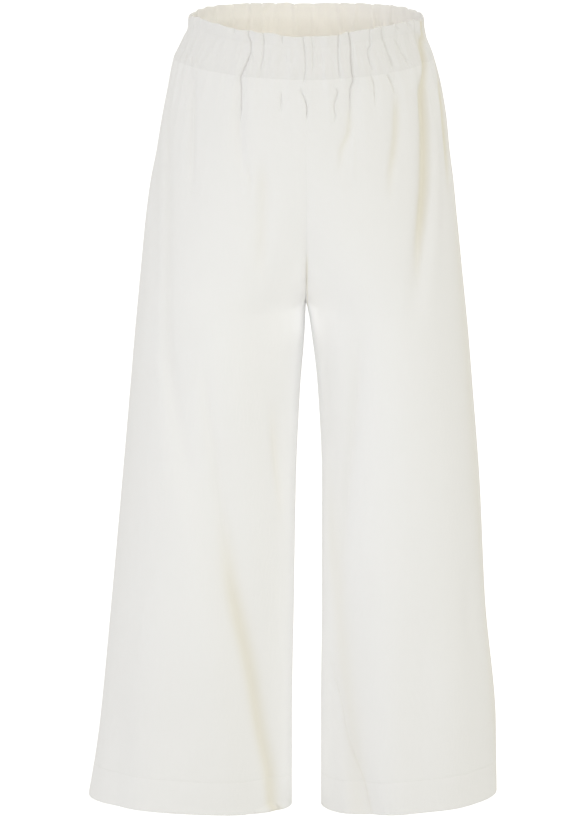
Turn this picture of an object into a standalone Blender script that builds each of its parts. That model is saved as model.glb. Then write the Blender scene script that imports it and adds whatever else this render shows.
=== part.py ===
"""Culottes: wide cropped trousers of light woven cloth with an elastic waist.

Two front panels and two back panels hang from one folded waistband, filled out as when worn.
Every piece is a thin wall on one shape, which is worked out from rings. A leg's ring is an oval
from its inner to its outer side. Above the fork the two ovals would pass the middle plane, and
what would pass it is cut off there, so the cut edge is the centre seam and the crotch curve.

X runs to the wearer's left, -Y is the front, Z is up. The origin is the middle of the waist.
"""

import math
from collections import namedtuple

import bpy

# Cloth and seams, in metres.
ONE_LAYER = 0.0015
TWO_LAYERS = 0.0030
SEAM_GAP = 0.0003
BAND_STANDS_OUT = 0.0004
HEM_TURN = 0.040

# Heights at the side seams, in metres.
WAIST_TOP = 0.0283
WAIST_SEAM = -0.0150
FORK = -0.2950

# How the top and bottom edges dip and rise round the body.
TOP_DIP_AT_FRONT = 0.0046
TOP_RISE_AT_BACK = 0.0028
TOP_SWELL_AT_BACK = 0.0040
SEAM_DIP_AT_FRONT = 0.0090
SEAM_DIP_ENDS = 0.120
HEM_RISE_AT_FRONT = 0.0020

# One ring of a leg: outer and inner side measured from the middle plane, and how far
# the cloth stands in front of and behind the side seam.
Ring = namedtuple("Ring", "height outer inner front back")

RIGHT_LEG = [
    Ring(0.0320, 0.1320, -0.1320, 0.0950, 0.0960),
    Ring(0.0180, 0.1330, -0.1330, 0.0960, 0.0970),
    Ring(0.0080, 0.1375, -0.1375, 0.0980, 0.0990),
    Ring(-0.0020, 0.1420, -0.1420, 0.1000, 0.1020),
    Ring(-0.0160, 0.1490, -0.1490, 0.1030, 0.1060),
    Ring(-0.0500, 0.1558, -0.1558, 0.1060, 0.1130),
    Ring(-0.0850, 0.1625, -0.1532, 0.1080, 0.1200),
    Ring(-0.1200, 0.1682, -0.1434, 0.1095, 0.1260),
    Ring(-0.1550, 0.1750, -0.1220, 0.1100, 0.1300),
    Ring(-0.1900, 0.1797, -0.0905, 0.1090, 0.1310),
    Ring(-0.2230, 0.1831, -0.0580, 0.1070, 0.1290),
    Ring(-0.2580, 0.1865, -0.0280, 0.1040, 0.1240),
    Ring(-0.2950, 0.1900, 0.0000, 0.1010, 0.1170),
    Ring(-0.3270, 0.1930, 0.0015, 0.0990, 0.1110),
    Ring(-0.3960, 0.1989, 0.0068, 0.0970, 0.1040),
    Ring(-0.4990, 0.2079, 0.0113, 0.0960, 0.0990),
    Ring(-0.6370, 0.2204, 0.0136, 0.0940, 0.0950),
    Ring(-0.7760, 0.2339, 0.0158, 0.0920, 0.0930),
    Ring(-0.8100, 0.2384, 0.0158, 0.0920, 0.0925),
    Ring(-0.8750, 0.2495, 0.0158, 0.0920, 0.0920),
]

LEFT_LEG = [
    Ring(0.0320, 0.1320, -0.1320, 0.0950, 0.0960),
    Ring(0.0180, 0.1328, -0.1328, 0.0960, 0.0970),
    Ring(0.0080, 0.1345, -0.1345, 0.0980, 0.0990),
    Ring(-0.0020, 0.1386, -0.1386, 0.1000, 0.1020),
    Ring(-0.0160, 0.1440, -0.1440, 0.1030, 0.1060),
    Ring(-0.0500, 0.1526, -0.1526, 0.1060, 0.1130),
    Ring(-0.0850, 0.1582, -0.1490, 0.1080, 0.1200),
    Ring(-0.1200, 0.1616, -0.1377, 0.1095, 0.1260),
    Ring(-0.1550, 0.1661, -0.1154, 0.1100, 0.1300),
    Ring(-0.1900, 0.1695, -0.0854, 0.1090, 0.1310),
    Ring(-0.2230, 0.1729, -0.0547, 0.1070, 0.1290),
    Ring(-0.2580, 0.1763, -0.0263, 0.1040, 0.1240),
    Ring(-0.2950, 0.1800, 0.0000, 0.1010, 0.1170),
    Ring(-0.3270, 0.1831, 0.0060, 0.1000, 0.1120),
    Ring(-0.3960, 0.1887, 0.0136, 0.0990, 0.1070),
    Ring(-0.4990, 0.1966, 0.0181, 0.1000, 0.1040),
    Ring(-0.6370, 0.2034, 0.0181, 0.1010, 0.1030),
    Ring(-0.7760, 0.2160, 0.0170, 0.1010, 0.1030),
    Ring(-0.8100, 0.2165, 0.0170, 0.1010, 0.1035),
    Ring(-0.8750, 0.2175, 0.0170, 0.1010, 0.1040),
]

# One gather of the waist: where its trough meets the waist seam, as a share of the panel's
# width from the side seam to the centre seam, how deep it is and how far down it reaches.
Gather = namedtuple("Gather", "at depth length")

FRONT_RIGHT_GATHERS = [
    Gather(0.06, 0.0018, 0.060),
    Gather(0.15, 0.0022, 0.080),
    Gather(0.245, 0.0026, 0.110),
    Gather(0.325, 0.0024, 0.150),
    Gather(0.405, 0.0020, 0.070),
    Gather(0.50, 0.0014, 0.060),
    Gather(0.59, 0.0016, 0.070),
    Gather(0.68, 0.0034, 0.150),
    Gather(0.785, 0.0020, 0.070),
    Gather(0.885, 0.0024, 0.090),
]
FRONT_LEFT_GATHERS = [
    Gather(0.06, 0.0020, 0.070),
    Gather(0.145, 0.0024, 0.120),
    Gather(0.235, 0.0034, 0.200),
    Gather(0.33, 0.0026, 0.110),
    Gather(0.43, 0.0028, 0.090),
    Gather(0.525, 0.0032, 0.150),
    Gather(0.665, 0.0024, 0.100),
    Gather(0.77, 0.0036, 0.150),
    Gather(0.85, 0.0024, 0.110),
    Gather(0.935, 0.0022, 0.080),
]
BACK_RIGHT_GATHERS = [
    Gather(0.07, 0.0020, 0.070),
    Gather(0.17, 0.0026, 0.090),
    Gather(0.29, 0.0022, 0.120),
    Gather(0.39, 0.0030, 0.090),
    Gather(0.50, 0.0026, 0.140),
    Gather(0.615, 0.0022, 0.080),
    Gather(0.71, 0.0030, 0.130),
    Gather(0.82, 0.0026, 0.090),
    Gather(0.93, 0.0022, 0.070),
]
BACK_LEFT_GATHERS = [
    Gather(0.08, 0.0022, 0.080),
    Gather(0.19, 0.0022, 0.110),
    Gather(0.28, 0.0028, 0.080),
    Gather(0.40, 0.0024, 0.130),
    Gather(0.50, 0.0030, 0.090),
    Gather(0.60, 0.0024, 0.080),
    Gather(0.725, 0.0028, 0.140),
    Gather(0.81, 0.0022, 0.090),
    Gather(0.92, 0.0028, 0.080),
]
GATHER_WIDTH = 0.0075
GATHERS_WIDEN = 6.0
WAIST_QUARTER = 0.200
SEAM_EDGE = 0.015

# One long fold of a leg, as a line across the front or back of it: sideways distance from the
# middle plane and height at both ends, how far the line bows sideways, half width and depth
# (a ridge is above nought and a trough below), and the share of its length that it takes to
# rise at the top and to fade at the bottom.
Fold = namedtuple("Fold", "top_x top_z low_x low_z bow width depth rise fade")

FRONT_RIGHT_FOLDS = [
    Fold(0.123, -0.290, 0.035, -0.870, 0.004, 0.030, -0.0110, 0.45, 0.0),
    Fold(0.098, -0.260, 0.072, -0.500, 0.000, 0.026, 0.0050, 0.4, 0.5),
    Fold(0.162, -0.250, 0.119, -0.560, 0.006, 0.018, -0.0045, 0.4, 0.4),
    Fold(0.040, -0.360, 0.023, -0.530, 0.000, 0.015, -0.0050, 0.4, 0.4),
    Fold(0.206, -0.700, 0.215, -0.870, 0.000, 0.018, -0.0045, 0.6, 0.0),
    Fold(0.168, -0.060, 0.168, -0.300, 0.004, 0.014, -0.0035, 0.3, 0.5),
    Fold(0.130, -0.016, 0.131, -0.190, 0.000, 0.009, -0.0025, 0.1, 0.6),
    Fold(0.074, -0.020, 0.066, -0.160, 0.003, 0.010, -0.0035, 0.1, 0.6),
    Fold(0.060, -0.130, 0.052, -0.290, 0.000, 0.013, -0.0030, 0.4, 0.5),
    Fold(0.112, -0.540, 0.078, -0.870, 0.000, 0.030, 0.0050, 0.5, 0.0),
    Fold(0.160, -0.560, 0.190, -0.870, 0.000, 0.030, 0.0035, 0.5, 0.0),
]
FRONT_LEFT_FOLDS = [
    Fold(0.132, -0.020, 0.118, -0.330, 0.007, 0.013, -0.0085, 0.1, 0.4),
    Fold(0.148, -0.030, 0.143, -0.300, 0.000, 0.011, 0.0036, 0.2, 0.5),
    Fold(0.051, -0.020, 0.040, -0.140, 0.002, 0.010, -0.0035, 0.1, 0.6),
    Fold(0.099, -0.016, 0.092, -0.160, 0.008, 0.012, -0.0035, 0.1, 0.6),
    Fold(0.044, -0.260, 0.022, -0.500, 0.000, 0.020, 0.0050, 0.3, 0.4),
    Fold(0.063, -0.270, 0.033, -0.700, -0.004, 0.016, -0.0075, 0.3, 0.4),
    Fold(0.020, -0.680, 0.074, -0.870, -0.006, 0.018, -0.0085, 0.4, 0.0),
    Fold(0.184, -0.560, 0.186, -0.700, 0.000, 0.012, -0.0030, 0.4, 0.4),
    Fold(0.112, -0.360, 0.128, -0.870, 0.006, 0.032, -0.0045, 0.5, 0.0),
    Fold(0.090, -0.600, 0.102, -0.870, 0.000, 0.024, 0.0040, 0.5, 0.0),
    Fold(0.170, -0.600, 0.168, -0.870, 0.000, 0.026, 0.0040, 0.5, 0.0),
]
BACK_RIGHT_FOLDS = [
    Fold(0.130, -0.180, 0.168, -0.400, 0.008, 0.020, -0.0050, 0.4, 0.5),
    Fold(0.030, -0.300, 0.075, -0.560, 0.010, 0.022, -0.0080, 0.3, 0.5),
    Fold(0.150, -0.420, 0.120, -0.870, 0.014, 0.030, -0.0100, 0.5, 0.0),
    Fold(0.085, -0.330, 0.070, -0.870, 0.010, 0.028, 0.0060, 0.4, 0.0),
    Fold(0.200, -0.600, 0.208, -0.870, 0.000, 0.020, -0.0050, 0.5, 0.0),
    Fold(0.050, -0.560, 0.044, -0.870, 0.004, 0.022, -0.0065, 0.5, 0.0),
    Fold(0.066, -0.016, 0.074, -0.190, 0.000, 0.010, -0.0030, 0.1, 0.6),
    Fold(0.120, -0.016, 0.128, -0.220, 0.003, 0.010, -0.0030, 0.1, 0.6),
]
BACK_LEFT_FOLDS = [
    Fold(0.120, -0.170, 0.160, -0.420, 0.010, 0.020, -0.0055, 0.4, 0.5),
    Fold(0.028, -0.305, 0.070, -0.600, 0.012, 0.022, -0.0075, 0.3, 0.5),
    Fold(0.135, -0.460, 0.150, -0.870, 0.012, 0.028, -0.0090, 0.5, 0.0),
    Fold(0.090, -0.350, 0.092, -0.870, 0.010, 0.028, 0.0060, 0.4, 0.0),
    Fold(0.060, -0.540, 0.048, -0.870, 0.000, 0.022, -0.0065, 0.5, 0.0),
    Fold(0.184, -0.560, 0.190, -0.870, 0.000, 0.018, -0.0045, 0.5, 0.0),
    Fold(0.052, -0.016, 0.060, -0.170, 0.000, 0.010, -0.0030, 0.1, 0.6),
    Fold(0.104, -0.016, 0.116, -0.200, 0.002, 0.010, -0.0030, 0.1, 0.6),
]

# One leg: which way it lies from the middle plane, the height of its hem at the middle of
# the front and back, and how much higher the hem hangs at the side seam.
Leg = namedtuple("Leg", "side hem hem_rise rings front_gathers back_gathers front_folds back_folds")
RIGHT = Leg(-1, -0.8685, 0.0055, RIGHT_LEG, FRONT_RIGHT_GATHERS, BACK_RIGHT_GATHERS,
            FRONT_RIGHT_FOLDS, BACK_RIGHT_FOLDS)
LEFT = Leg(1, -0.8663, 0.0075, LEFT_LEG, FRONT_LEFT_GATHERS, BACK_LEFT_GATHERS,
           FRONT_LEFT_FOLDS, BACK_LEFT_FOLDS)

# Heights of the rows of a panel between the waist seam and the hem.
PANEL_ROWS = [-0.040, -0.068, -0.100, -0.140, -0.182, -0.218, -0.245, -0.267, -0.283, FORK,
              -0.330, -0.385, -0.460, -0.550, -0.650, -0.745]

# Rows of the waistband: share of the way down from its top edge, how far the cloth stands
# out there and how deep the gathers are.
BandRow = namedtuple("BandRow", "down stands_out gathers")
BAND_ROWS = [
    BandRow(0.00, 0.0012, 1.3),
    BandRow(0.24, -0.0004, 0.9),
    BandRow(0.38, 0.0006, 0.7),
    BandRow(0.68, 0.0010, 0.7),
    BandRow(0.90, 0.0004, 0.9),
    BandRow(1.00, 0.0000, 1.0),
]
FRILL_WAVE = 0.0011
FRILL_WAVES_PER_PANEL = 9.5

# Cloth colour, red green blue.
OFF_WHITE = (0.80, 0.78, 0.73)


def ease(share):
    """Smooth step from 0 to 1."""
    share = min(1.0, max(0.0, share))
    return share * share * (3 - 2 * share)


def slopes(heights, values):
    """Slope at each row of a table, so that the curve through it never swings past a row."""
    steps = [(values[i + 1] - values[i]) / (heights[i + 1] - heights[i])
             for i in range(len(values) - 1)]
    middle = [0.0 if a * b <= 0 else 2 * a * b / (a + b) for a, b in zip(steps, steps[1:])]
    return [steps[0]] + middle + [steps[-1]]


def curve_through(rings, column):
    """Function of height that passes smoothly through one column of a table of rings."""
    heights = [ring.height for ring in rings]
    values = [getattr(ring, column) for ring in rings]
    tangents = slopes(heights, values)

    def value_at(height):
        i = 0
        while i < len(heights) - 2 and height < heights[i + 1]:
            i += 1
        step = heights[i + 1] - heights[i]
        t = min(1.0, max(0.0, (height - heights[i]) / step))
        start = (1 + 2 * t) * (1 - t) ** 2 * values[i] + t * (1 - t) ** 2 * step * tangents[i]
        end = t * t * (3 - 2 * t) * values[i + 1] + t * t * (t - 1) * step * tangents[i + 1]
        return start + end

    return value_at


def leg_curves(leg):
    """The smooth curves of one leg's ring table, by column name."""
    return {name: curve_through(leg.rings, name) for name in ("outer", "inner", "front", "back")}


def gather_depth(gathers, turn, height, quarter):
    """How far the waist gathers of one panel draw the cloth in."""
    drawn_in = 0.0
    below = max(0.0, WAIST_SEAM - height)
    for gather in gathers:
        away = abs(turn - gather.at) * quarter / (GATHER_WIDTH * (1 + GATHERS_WIDEN * below))
        if away < 1:
            drawn_in += gather.depth * (1 - away * away) ** 2 * ease(1 - below / gather.length)
    return drawn_in


def fold_height(folds, x, height, across):
    """How far the long folds of one panel lift the cloth, or draw it in."""
    lifted = 0.0
    for fold in folds:
        share = (fold.top_z - height) / (fold.top_z - fold.low_z)
        if 0 <= share <= 1:
            line = fold.top_x + (fold.low_x - fold.top_x) * share + fold.bow * 4 * share * (1 - share)
            away = (x - line) / fold.width / max(0.35, across)
            grows = ease(share / fold.rise) if fold.rise else 1.0
            fades = ease((1 - share) / fold.fade) if fold.fade else 1.0
            lifted += fold.depth * math.exp(-away * away) * grows * fades
    return lifted


def seam_height(facing):
    """Height of the waist seam. facing is 1 at centre front, 0 at the sides and -1 at centre back."""
    return WAIST_SEAM - SEAM_DIP_AT_FRONT * max(0.0, facing) ** 2


def top_height(facing):
    """Height of the waistband's top edge."""
    if facing > 0:
        return WAIST_TOP - TOP_DIP_AT_FRONT * facing
    swell = math.sqrt(max(0.0, -4 * facing * (1 + facing)))
    return WAIST_TOP - TOP_RISE_AT_BACK * facing + TOP_SWELL_AT_BACK * swell


def cloth_point(leg, curves, turn, height, out=0.0, gathers=1.0):
    """Point of the cloth's outer side, with turn 0 at the side seam, 1 at the front's inner
    edge and -1 at the back's, given as it lies before the panels are set apart."""
    outer, inner = curves["outer"](height), curves["inner"](height)
    middle, half = (outer + inner) / 2, (outer - inner) / 2
    depth = curves["front" if turn >= 0 else "back"](height)
    reach = math.acos(max(-1.0, -middle / half))
    angle = abs(turn) * reach
    x, y = middle + half * math.cos(angle), depth * math.sin(angle)
    across, along = half * math.sin(angle), depth * math.cos(angle)
    speed = math.hypot(across, along)
    normal_x, normal_y = along / speed, across / speed
    facing = math.sin(angle)
    panel_gathers = leg.front_gathers if turn >= 0 else leg.back_gathers
    panel_folds = leg.front_folds if turn >= 0 else leg.back_folds
    quarter = (half + depth) / 2 * reach
    lift = out - gathers * gather_depth(panel_gathers, abs(turn), height, quarter)
    lift += fold_height(panel_folds, x, height, across / speed) * ease(facing / 0.3)
    near_middle = 1.0 if inner > 0 else min(1.0, x / 0.008)
    x += normal_x * lift * near_middle
    y += normal_y * lift
    return leg.side * x, (-y if turn >= 0 else y), facing, math.cos(angle)


def gather_columns(gathers):
    """Where the columns of a panel start at the waist: on each trough, on both of its flanks,
    between it and the next one, and close to both seams."""
    flank = GATHER_WIDTH / WAIST_QUARTER / 2
    columns = [0.0, SEAM_EDGE]
    for gather, following in zip(gathers, gathers[1:] + [None]):
        columns += [gather.at - flank, gather.at, gather.at + flank]
        if following:
            columns.append((gather.at + following.at) / 2)
    return columns + [1 - SEAM_EDGE, 1.0]


def build_mesh(name, rows, closed):
    """Mesh of a grid of points, with its faces turned outwards."""
    width = len(rows[0])
    points = [point for row in rows for point in row]
    faces = []
    for i in range(len(rows) - 1):
        for j in range(width if closed else width - 1):
            k = (j + 1) % width
            faces.append((i * width + j, (i + 1) * width + j, (i + 1) * width + k, i * width + k))
    mesh = bpy.data.meshes.new(name)
    mesh.from_pydata(points, [], faces)
    mesh.update()
    return mesh


def cloth_material(name):
    """Matt woven cloth."""
    material = bpy.data.materials.new(name)
    material.use_nodes = True
    shader = material.node_tree.nodes["Principled BSDF"]
    shader.inputs["Base Color"].default_value = (*OFF_WHITE, 1.0)
    shader.inputs["Roughness"].default_value = 0.9
    return material


def cloth_piece(name, rows, closed, thickness):
    """Object of one piece of cloth, as an open surface with its wall inside it."""
    piece = bpy.data.objects.new(name, build_mesh(name, rows, closed))
    piece.data.materials.append(cloth_material(name + "_cloth"))
    for face in piece.data.polygons:
        face.use_smooth = True
    wall = piece.modifiers.new("wall", "SOLIDIFY")
    wall.thickness = thickness
    wall.offset = -1.0
    return piece


def panel_rows(leg, facing_front):
    """Rows of points of one panel from the waist seam to the hem edge."""
    curves = leg_curves(leg)
    gathers = leg.front_gathers if facing_front else leg.back_gathers
    sign = 1 if facing_front else -1
    at_waist = gather_columns(gathers)
    count = len(at_waist) - 1
    hem_top = leg.hem + HEM_TURN
    levels = [WAIST_SEAM] + PANEL_ROWS + [hem_top + 0.002, hem_top - 0.002, leg.hem]
    rows = []
    for level in levels:
        evened = ease((WAIST_SEAM - level) / 0.25)
        row = []
        for j, start in enumerate(at_waist):
            turn = sign * (start + (j / count - start) * evened)
            _, _, facing, sideways = cloth_point(leg, curves, turn, level)
            height = level
            if facing_front:
                dip = ease(1 - (WAIST_SEAM - level) / SEAM_DIP_ENDS)
                height += (seam_height(facing) - WAIST_SEAM) * dip
            height -= SEAM_GAP / 2 if level == WAIST_SEAM else 0.0
            swing = ease((FORK - level) / (FORK - leg.hem))
            height += leg.hem_rise * sideways * swing
            if facing_front:
                height += HEM_RISE_AT_FRONT * facing ** 2 * swing
            x, y, _, _ = cloth_point(leg, curves, turn, height)
            x += leg.side * SEAM_GAP / 2
            y += -sign * SEAM_GAP / 2
            row.append((x, y, height))
        rows.append(row if leg.side * sign < 0 else row[::-1])
    return rows


def panel(name, leg, facing_front):
    """One leg panel, with its hem turned up to two layers."""
    rows = panel_rows(leg, facing_front)
    piece = cloth_piece(name, rows, False, TWO_LAYERS)
    width = len(rows[0])
    hem = piece.vertex_groups.new(name="hem")
    hem.add(list(range((len(rows) - 2) * width, len(rows) * width)), 1.0, "REPLACE")
    piece.modifiers["wall"].vertex_group = "hem"
    piece.modifiers["wall"].thickness_vertex_group = ONE_LAYER / TWO_LAYERS
    return piece


def waistband():
    """The folded strip over the elastic, with the frill standing above it."""
    quarters = [(LEFT, 1), (LEFT, -1), (RIGHT, -1), (RIGHT, 1)]
    rows = []
    for band_row in BAND_ROWS:
        row = []
        for leg, sign in quarters:
            curves = leg_curves(leg)
            gathers = leg.front_gathers if sign > 0 else leg.back_gathers
            columns = gather_columns(gathers)
            from_centre = (leg.side > 0) == (sign > 0)
            columns = columns[:0:-1] if from_centre else columns[:-1]
            for turn in columns:
                turn *= sign
                _, _, facing, _ = cloth_point(leg, curves, turn, WAIST_TOP)
                facing *= sign
                top, bottom = top_height(facing), seam_height(facing) + SEAM_GAP / 2
                height = top + (bottom - top) * band_row.down
                if band_row.down == 0:
                    height -= FRILL_WAVE * math.cos(abs(turn) * 2 * math.pi * FRILL_WAVES_PER_PANEL)
                out = band_row.stands_out + BAND_STANDS_OUT
                x, y, _, _ = cloth_point(leg, curves, turn, height, out, band_row.gathers)
                row.append((x, y, height))
        rows.append(row)
    return cloth_piece("waistband", rows, True, TWO_LAYERS)


def main():
    """Builds the five pieces of the culottes."""
    for old in list(bpy.data.objects):
        bpy.data.objects.remove(old)
    culottes = bpy.data.collections.new("culottes")
    bpy.context.scene.collection.children.link(culottes)
    pieces = [
        waistband(),
        panel("front_right", RIGHT, True),
        panel("front_left", LEFT, True),
        panel("back_right", RIGHT, False),
        panel("back_left", LEFT, False),
    ]
    for piece in pieces:
        culottes.objects.link(piece)


main()
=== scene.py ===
"""Culottes of light woven cloth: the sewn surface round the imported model.

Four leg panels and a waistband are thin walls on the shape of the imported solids. They repeat
the solids' rings, gathers and folds on a finer grid, and add what sewing and wear put there:
sharp creases under the elastic, rolled seam edges with puckers, turned-up hems and stitches.

X runs to the wearer's left, -Y is the front, Z is up. The origin is the middle of the waist.
"""

import math
from collections import namedtuple

import bmesh
import bpy
import numpy as np
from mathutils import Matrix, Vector


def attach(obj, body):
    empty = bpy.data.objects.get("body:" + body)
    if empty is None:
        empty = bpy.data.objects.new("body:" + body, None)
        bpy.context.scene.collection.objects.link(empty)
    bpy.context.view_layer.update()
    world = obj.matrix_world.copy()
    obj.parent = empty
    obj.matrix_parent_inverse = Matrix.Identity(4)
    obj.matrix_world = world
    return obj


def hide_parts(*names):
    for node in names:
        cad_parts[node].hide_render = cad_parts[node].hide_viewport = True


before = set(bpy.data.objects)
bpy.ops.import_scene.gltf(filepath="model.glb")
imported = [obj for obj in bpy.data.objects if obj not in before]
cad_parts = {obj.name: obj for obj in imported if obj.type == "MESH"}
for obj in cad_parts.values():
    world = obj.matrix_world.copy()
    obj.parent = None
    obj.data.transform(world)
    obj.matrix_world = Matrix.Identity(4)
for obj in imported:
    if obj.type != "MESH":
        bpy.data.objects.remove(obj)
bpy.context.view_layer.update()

# Heights at the side seams, in metres.
WAIST_TOP = 0.0283
WAIST_SEAM = -0.0150
FORK = -0.2950

# How the top and bottom edges dip and rise round the body.
TOP_DIP_AT_FRONT = 0.0046
TOP_RISE_AT_BACK = 0.0028
TOP_SWELL_AT_BACK = 0.0040
SEAM_DIP_AT_FRONT = 0.0090
SEAM_DIP_ENDS = 0.120
HEM_RISE_AT_FRONT = 0.0020


def in_metres(kind, columns, rows):
    """Table rows by column name, with the named columns turned from millimetres into metres."""
    return [kind(*(value / 1000 if name in columns else value for name, value in zip(kind._fields, row)))
            for row in rows]


# One ring of a leg: outer and inner side measured from the middle plane, and how far
# the cloth stands in front of and behind the side seam.
Ring = namedtuple("Ring", "height outer inner front back")

RIGHT_LEG = in_metres(Ring, Ring._fields, [
    (32, 132, -132, 95, 96),
    (18, 133, -133, 96, 97),
    (8, 137.5, -137.5, 98, 99),
    (-2, 142, -142, 100, 102),
    (-16, 149, -149, 103, 106),
    (-50, 155.8, -155.8, 106, 113),
    (-85, 162.5, -153.2, 108, 120),
    (-120, 168.2, -143.4, 109.5, 126),
    (-155, 175, -122, 110, 130),
    (-190, 179.7, -90.5, 109, 131),
    (-223, 183.1, -58, 107, 129),
    (-258, 186.5, -28, 104, 124),
    (-295, 190, 0, 101, 117),
    (-327, 193, 1.5, 99, 111),
    (-396, 198.9, 6.8, 97, 104),
    (-499, 207.9, 11.3, 96, 99),
    (-637, 220.4, 13.6, 94, 95),
    (-776, 233.9, 15.8, 92, 93),
    (-810, 238.4, 15.8, 92, 92.5),
    (-875, 249.5, 15.8, 92, 92),
])

LEFT_LEG = in_metres(Ring, Ring._fields, [
    (32, 132, -132, 95, 96),
    (18, 132.8, -132.8, 96, 97),
    (8, 134.5, -134.5, 98, 99),
    (-2, 138.6, -138.6, 100, 102),
    (-16, 144, -144, 103, 106),
    (-50, 152.6, -152.6, 106, 113),
    (-85, 158.2, -149, 108, 120),
    (-120, 161.6, -137.7, 109.5, 126),
    (-155, 166.1, -115.4, 110, 130),
    (-190, 169.5, -85.4, 109, 131),
    (-223, 172.9, -54.7, 107, 129),
    (-258, 176.3, -26.3, 104, 124),
    (-295, 180, 0, 101, 117),
    (-327, 183.1, 6, 100, 112),
    (-396, 188.7, 13.6, 99, 107),
    (-499, 196.6, 18.1, 100, 104),
    (-637, 203.4, 18.1, 101, 103),
    (-776, 216, 17, 101, 103),
    (-810, 216.5, 17, 101, 103.5),
    (-875, 217.5, 17, 101, 104),
])

# One gather of the waist: where its trough meets the waist seam, as a share of the panel's
# width from the side seam to the centre seam, how deep it is and how far down it reaches.
Gather = namedtuple("Gather", "at depth length")

FRONT_RIGHT_GATHERS = in_metres(Gather, ("depth", "length"), [
    (0.06, 1.8, 60), (0.15, 2.2, 80), (0.245, 2.6, 110), (0.325, 2.4, 150), (0.405, 2, 70), (0.5, 1.4, 60),
    (0.59, 1.6, 70), (0.68, 3.4, 150), (0.785, 2, 70), (0.885, 2.4, 90),
])
FRONT_LEFT_GATHERS = in_metres(Gather, ("depth", "length"), [
    (0.06, 2, 70), (0.145, 2.4, 120), (0.235, 3.4, 200), (0.33, 2.6, 110), (0.43, 2.8, 90), (0.525, 3.2,
    150), (0.665, 2.4, 100), (0.77, 3.6, 150), (0.85, 2.4, 110), (0.935, 2.2, 80),
])
BACK_RIGHT_GATHERS = in_metres(Gather, ("depth", "length"), [
    (0.07, 2, 70), (0.17, 2.6, 90), (0.29, 2.2, 120), (0.39, 3, 90), (0.5, 2.6, 140), (0.615, 2.2, 80),
    (0.71, 3, 130), (0.82, 2.6, 90), (0.93, 2.2, 70),
])
BACK_LEFT_GATHERS = in_metres(Gather, ("depth", "length"), [
    (0.08, 2.2, 80), (0.19, 2.2, 110), (0.28, 2.8, 80), (0.4, 2.4, 130), (0.5, 3, 90), (0.6, 2.4, 80),
    (0.725, 2.8, 140), (0.81, 2.2, 90), (0.92, 2.8, 80),
])
GATHER_WIDTH = 0.0075
GATHERS_WIDEN = 6.0

# One long fold of a leg, as a line across the front or back of it: sideways distance from the
# middle plane and height at both ends, how far the line bows sideways, half width and depth
# (a ridge is above nought and a trough below), and the share of its length that it takes to
# rise at the top and to fade at the bottom.
Fold = namedtuple("Fold", "top_x top_z low_x low_z bow width depth rise fade")

FRONT_RIGHT_FOLDS = in_metres(Fold, Fold._fields[:7], [
    (123, -290, 35, -870, 4, 30, -11, 0.45, 0),
    (98, -260, 72, -500, 0, 26, 5, 0.4, 0.5),
    (162, -250, 119, -560, 6, 18, -4.5, 0.4, 0.4),
    (40, -360, 23, -530, 0, 15, -5, 0.4, 0.4),
    (206, -700, 215, -870, 0, 18, -4.5, 0.6, 0),
    (168, -60, 168, -300, 4, 14, -3.5, 0.3, 0.5),
    (130, -16, 131, -190, 0, 9, -2.5, 0.1, 0.6),
    (74, -20, 66, -160, 3, 10, -3.5, 0.1, 0.6),
    (60, -130, 52, -290, 0, 13, -3, 0.4, 0.5),
    (112, -540, 78, -870, 0, 30, 5, 0.5, 0),
    (160, -560, 190, -870, 0, 30, 3.5, 0.5, 0),
])
FRONT_LEFT_FOLDS = in_metres(Fold, Fold._fields[:7], [
    (132, -20, 118, -330, 7, 13, -8.5, 0.1, 0.4),
    (148, -30, 143, -300, 0, 11, 3.6, 0.2, 0.5),
    (51, -20, 40, -140, 2, 10, -3.5, 0.1, 0.6),
    (99, -16, 92, -160, 8, 12, -3.5, 0.1, 0.6),
    (44, -260, 22, -500, 0, 20, 5, 0.3, 0.4),
    (63, -270, 33, -700, -4, 16, -7.5, 0.3, 0.4),
    (20, -680, 74, -870, -6, 18, -8.5, 0.4, 0),
    (184, -560, 186, -700, 0, 12, -3, 0.4, 0.4),
    (112, -360, 128, -870, 6, 32, -4.5, 0.5, 0),
    (90, -600, 102, -870, 0, 24, 4, 0.5, 0),
    (170, -600, 168, -870, 0, 26, 4, 0.5, 0),
])
BACK_RIGHT_FOLDS = in_metres(Fold, Fold._fields[:7], [
    (130, -180, 168, -400, 8, 20, -5, 0.4, 0.5),
    (30, -300, 75, -560, 10, 22, -8, 0.3, 0.5),
    (150, -420, 120, -870, 14, 30, -10, 0.5, 0),
    (85, -330, 70, -870, 10, 28, 6, 0.4, 0),
    (200, -600, 208, -870, 0, 20, -5, 0.5, 0),
    (50, -560, 44, -870, 4, 22, -6.5, 0.5, 0),
    (66, -16, 74, -190, 0, 10, -3, 0.1, 0.6),
    (120, -16, 128, -220, 3, 10, -3, 0.1, 0.6),
])
BACK_LEFT_FOLDS = in_metres(Fold, Fold._fields[:7], [
    (120, -170, 160, -420, 10, 20, -5.5, 0.4, 0.5),
    (28, -305, 70, -600, 12, 22, -7.5, 0.3, 0.5),
    (135, -460, 150, -870, 12, 28, -9, 0.5, 0),
    (90, -350, 92, -870, 10, 28, 6, 0.4, 0),
    (60, -540, 48, -870, 0, 22, -6.5, 0.5, 0),
    (184, -560, 190, -870, 0, 18, -4.5, 0.5, 0),
    (52, -16, 60, -170, 0, 10, -3, 0.1, 0.6),
    (104, -16, 116, -200, 2, 10, -3, 0.1, 0.6),
])

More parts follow.
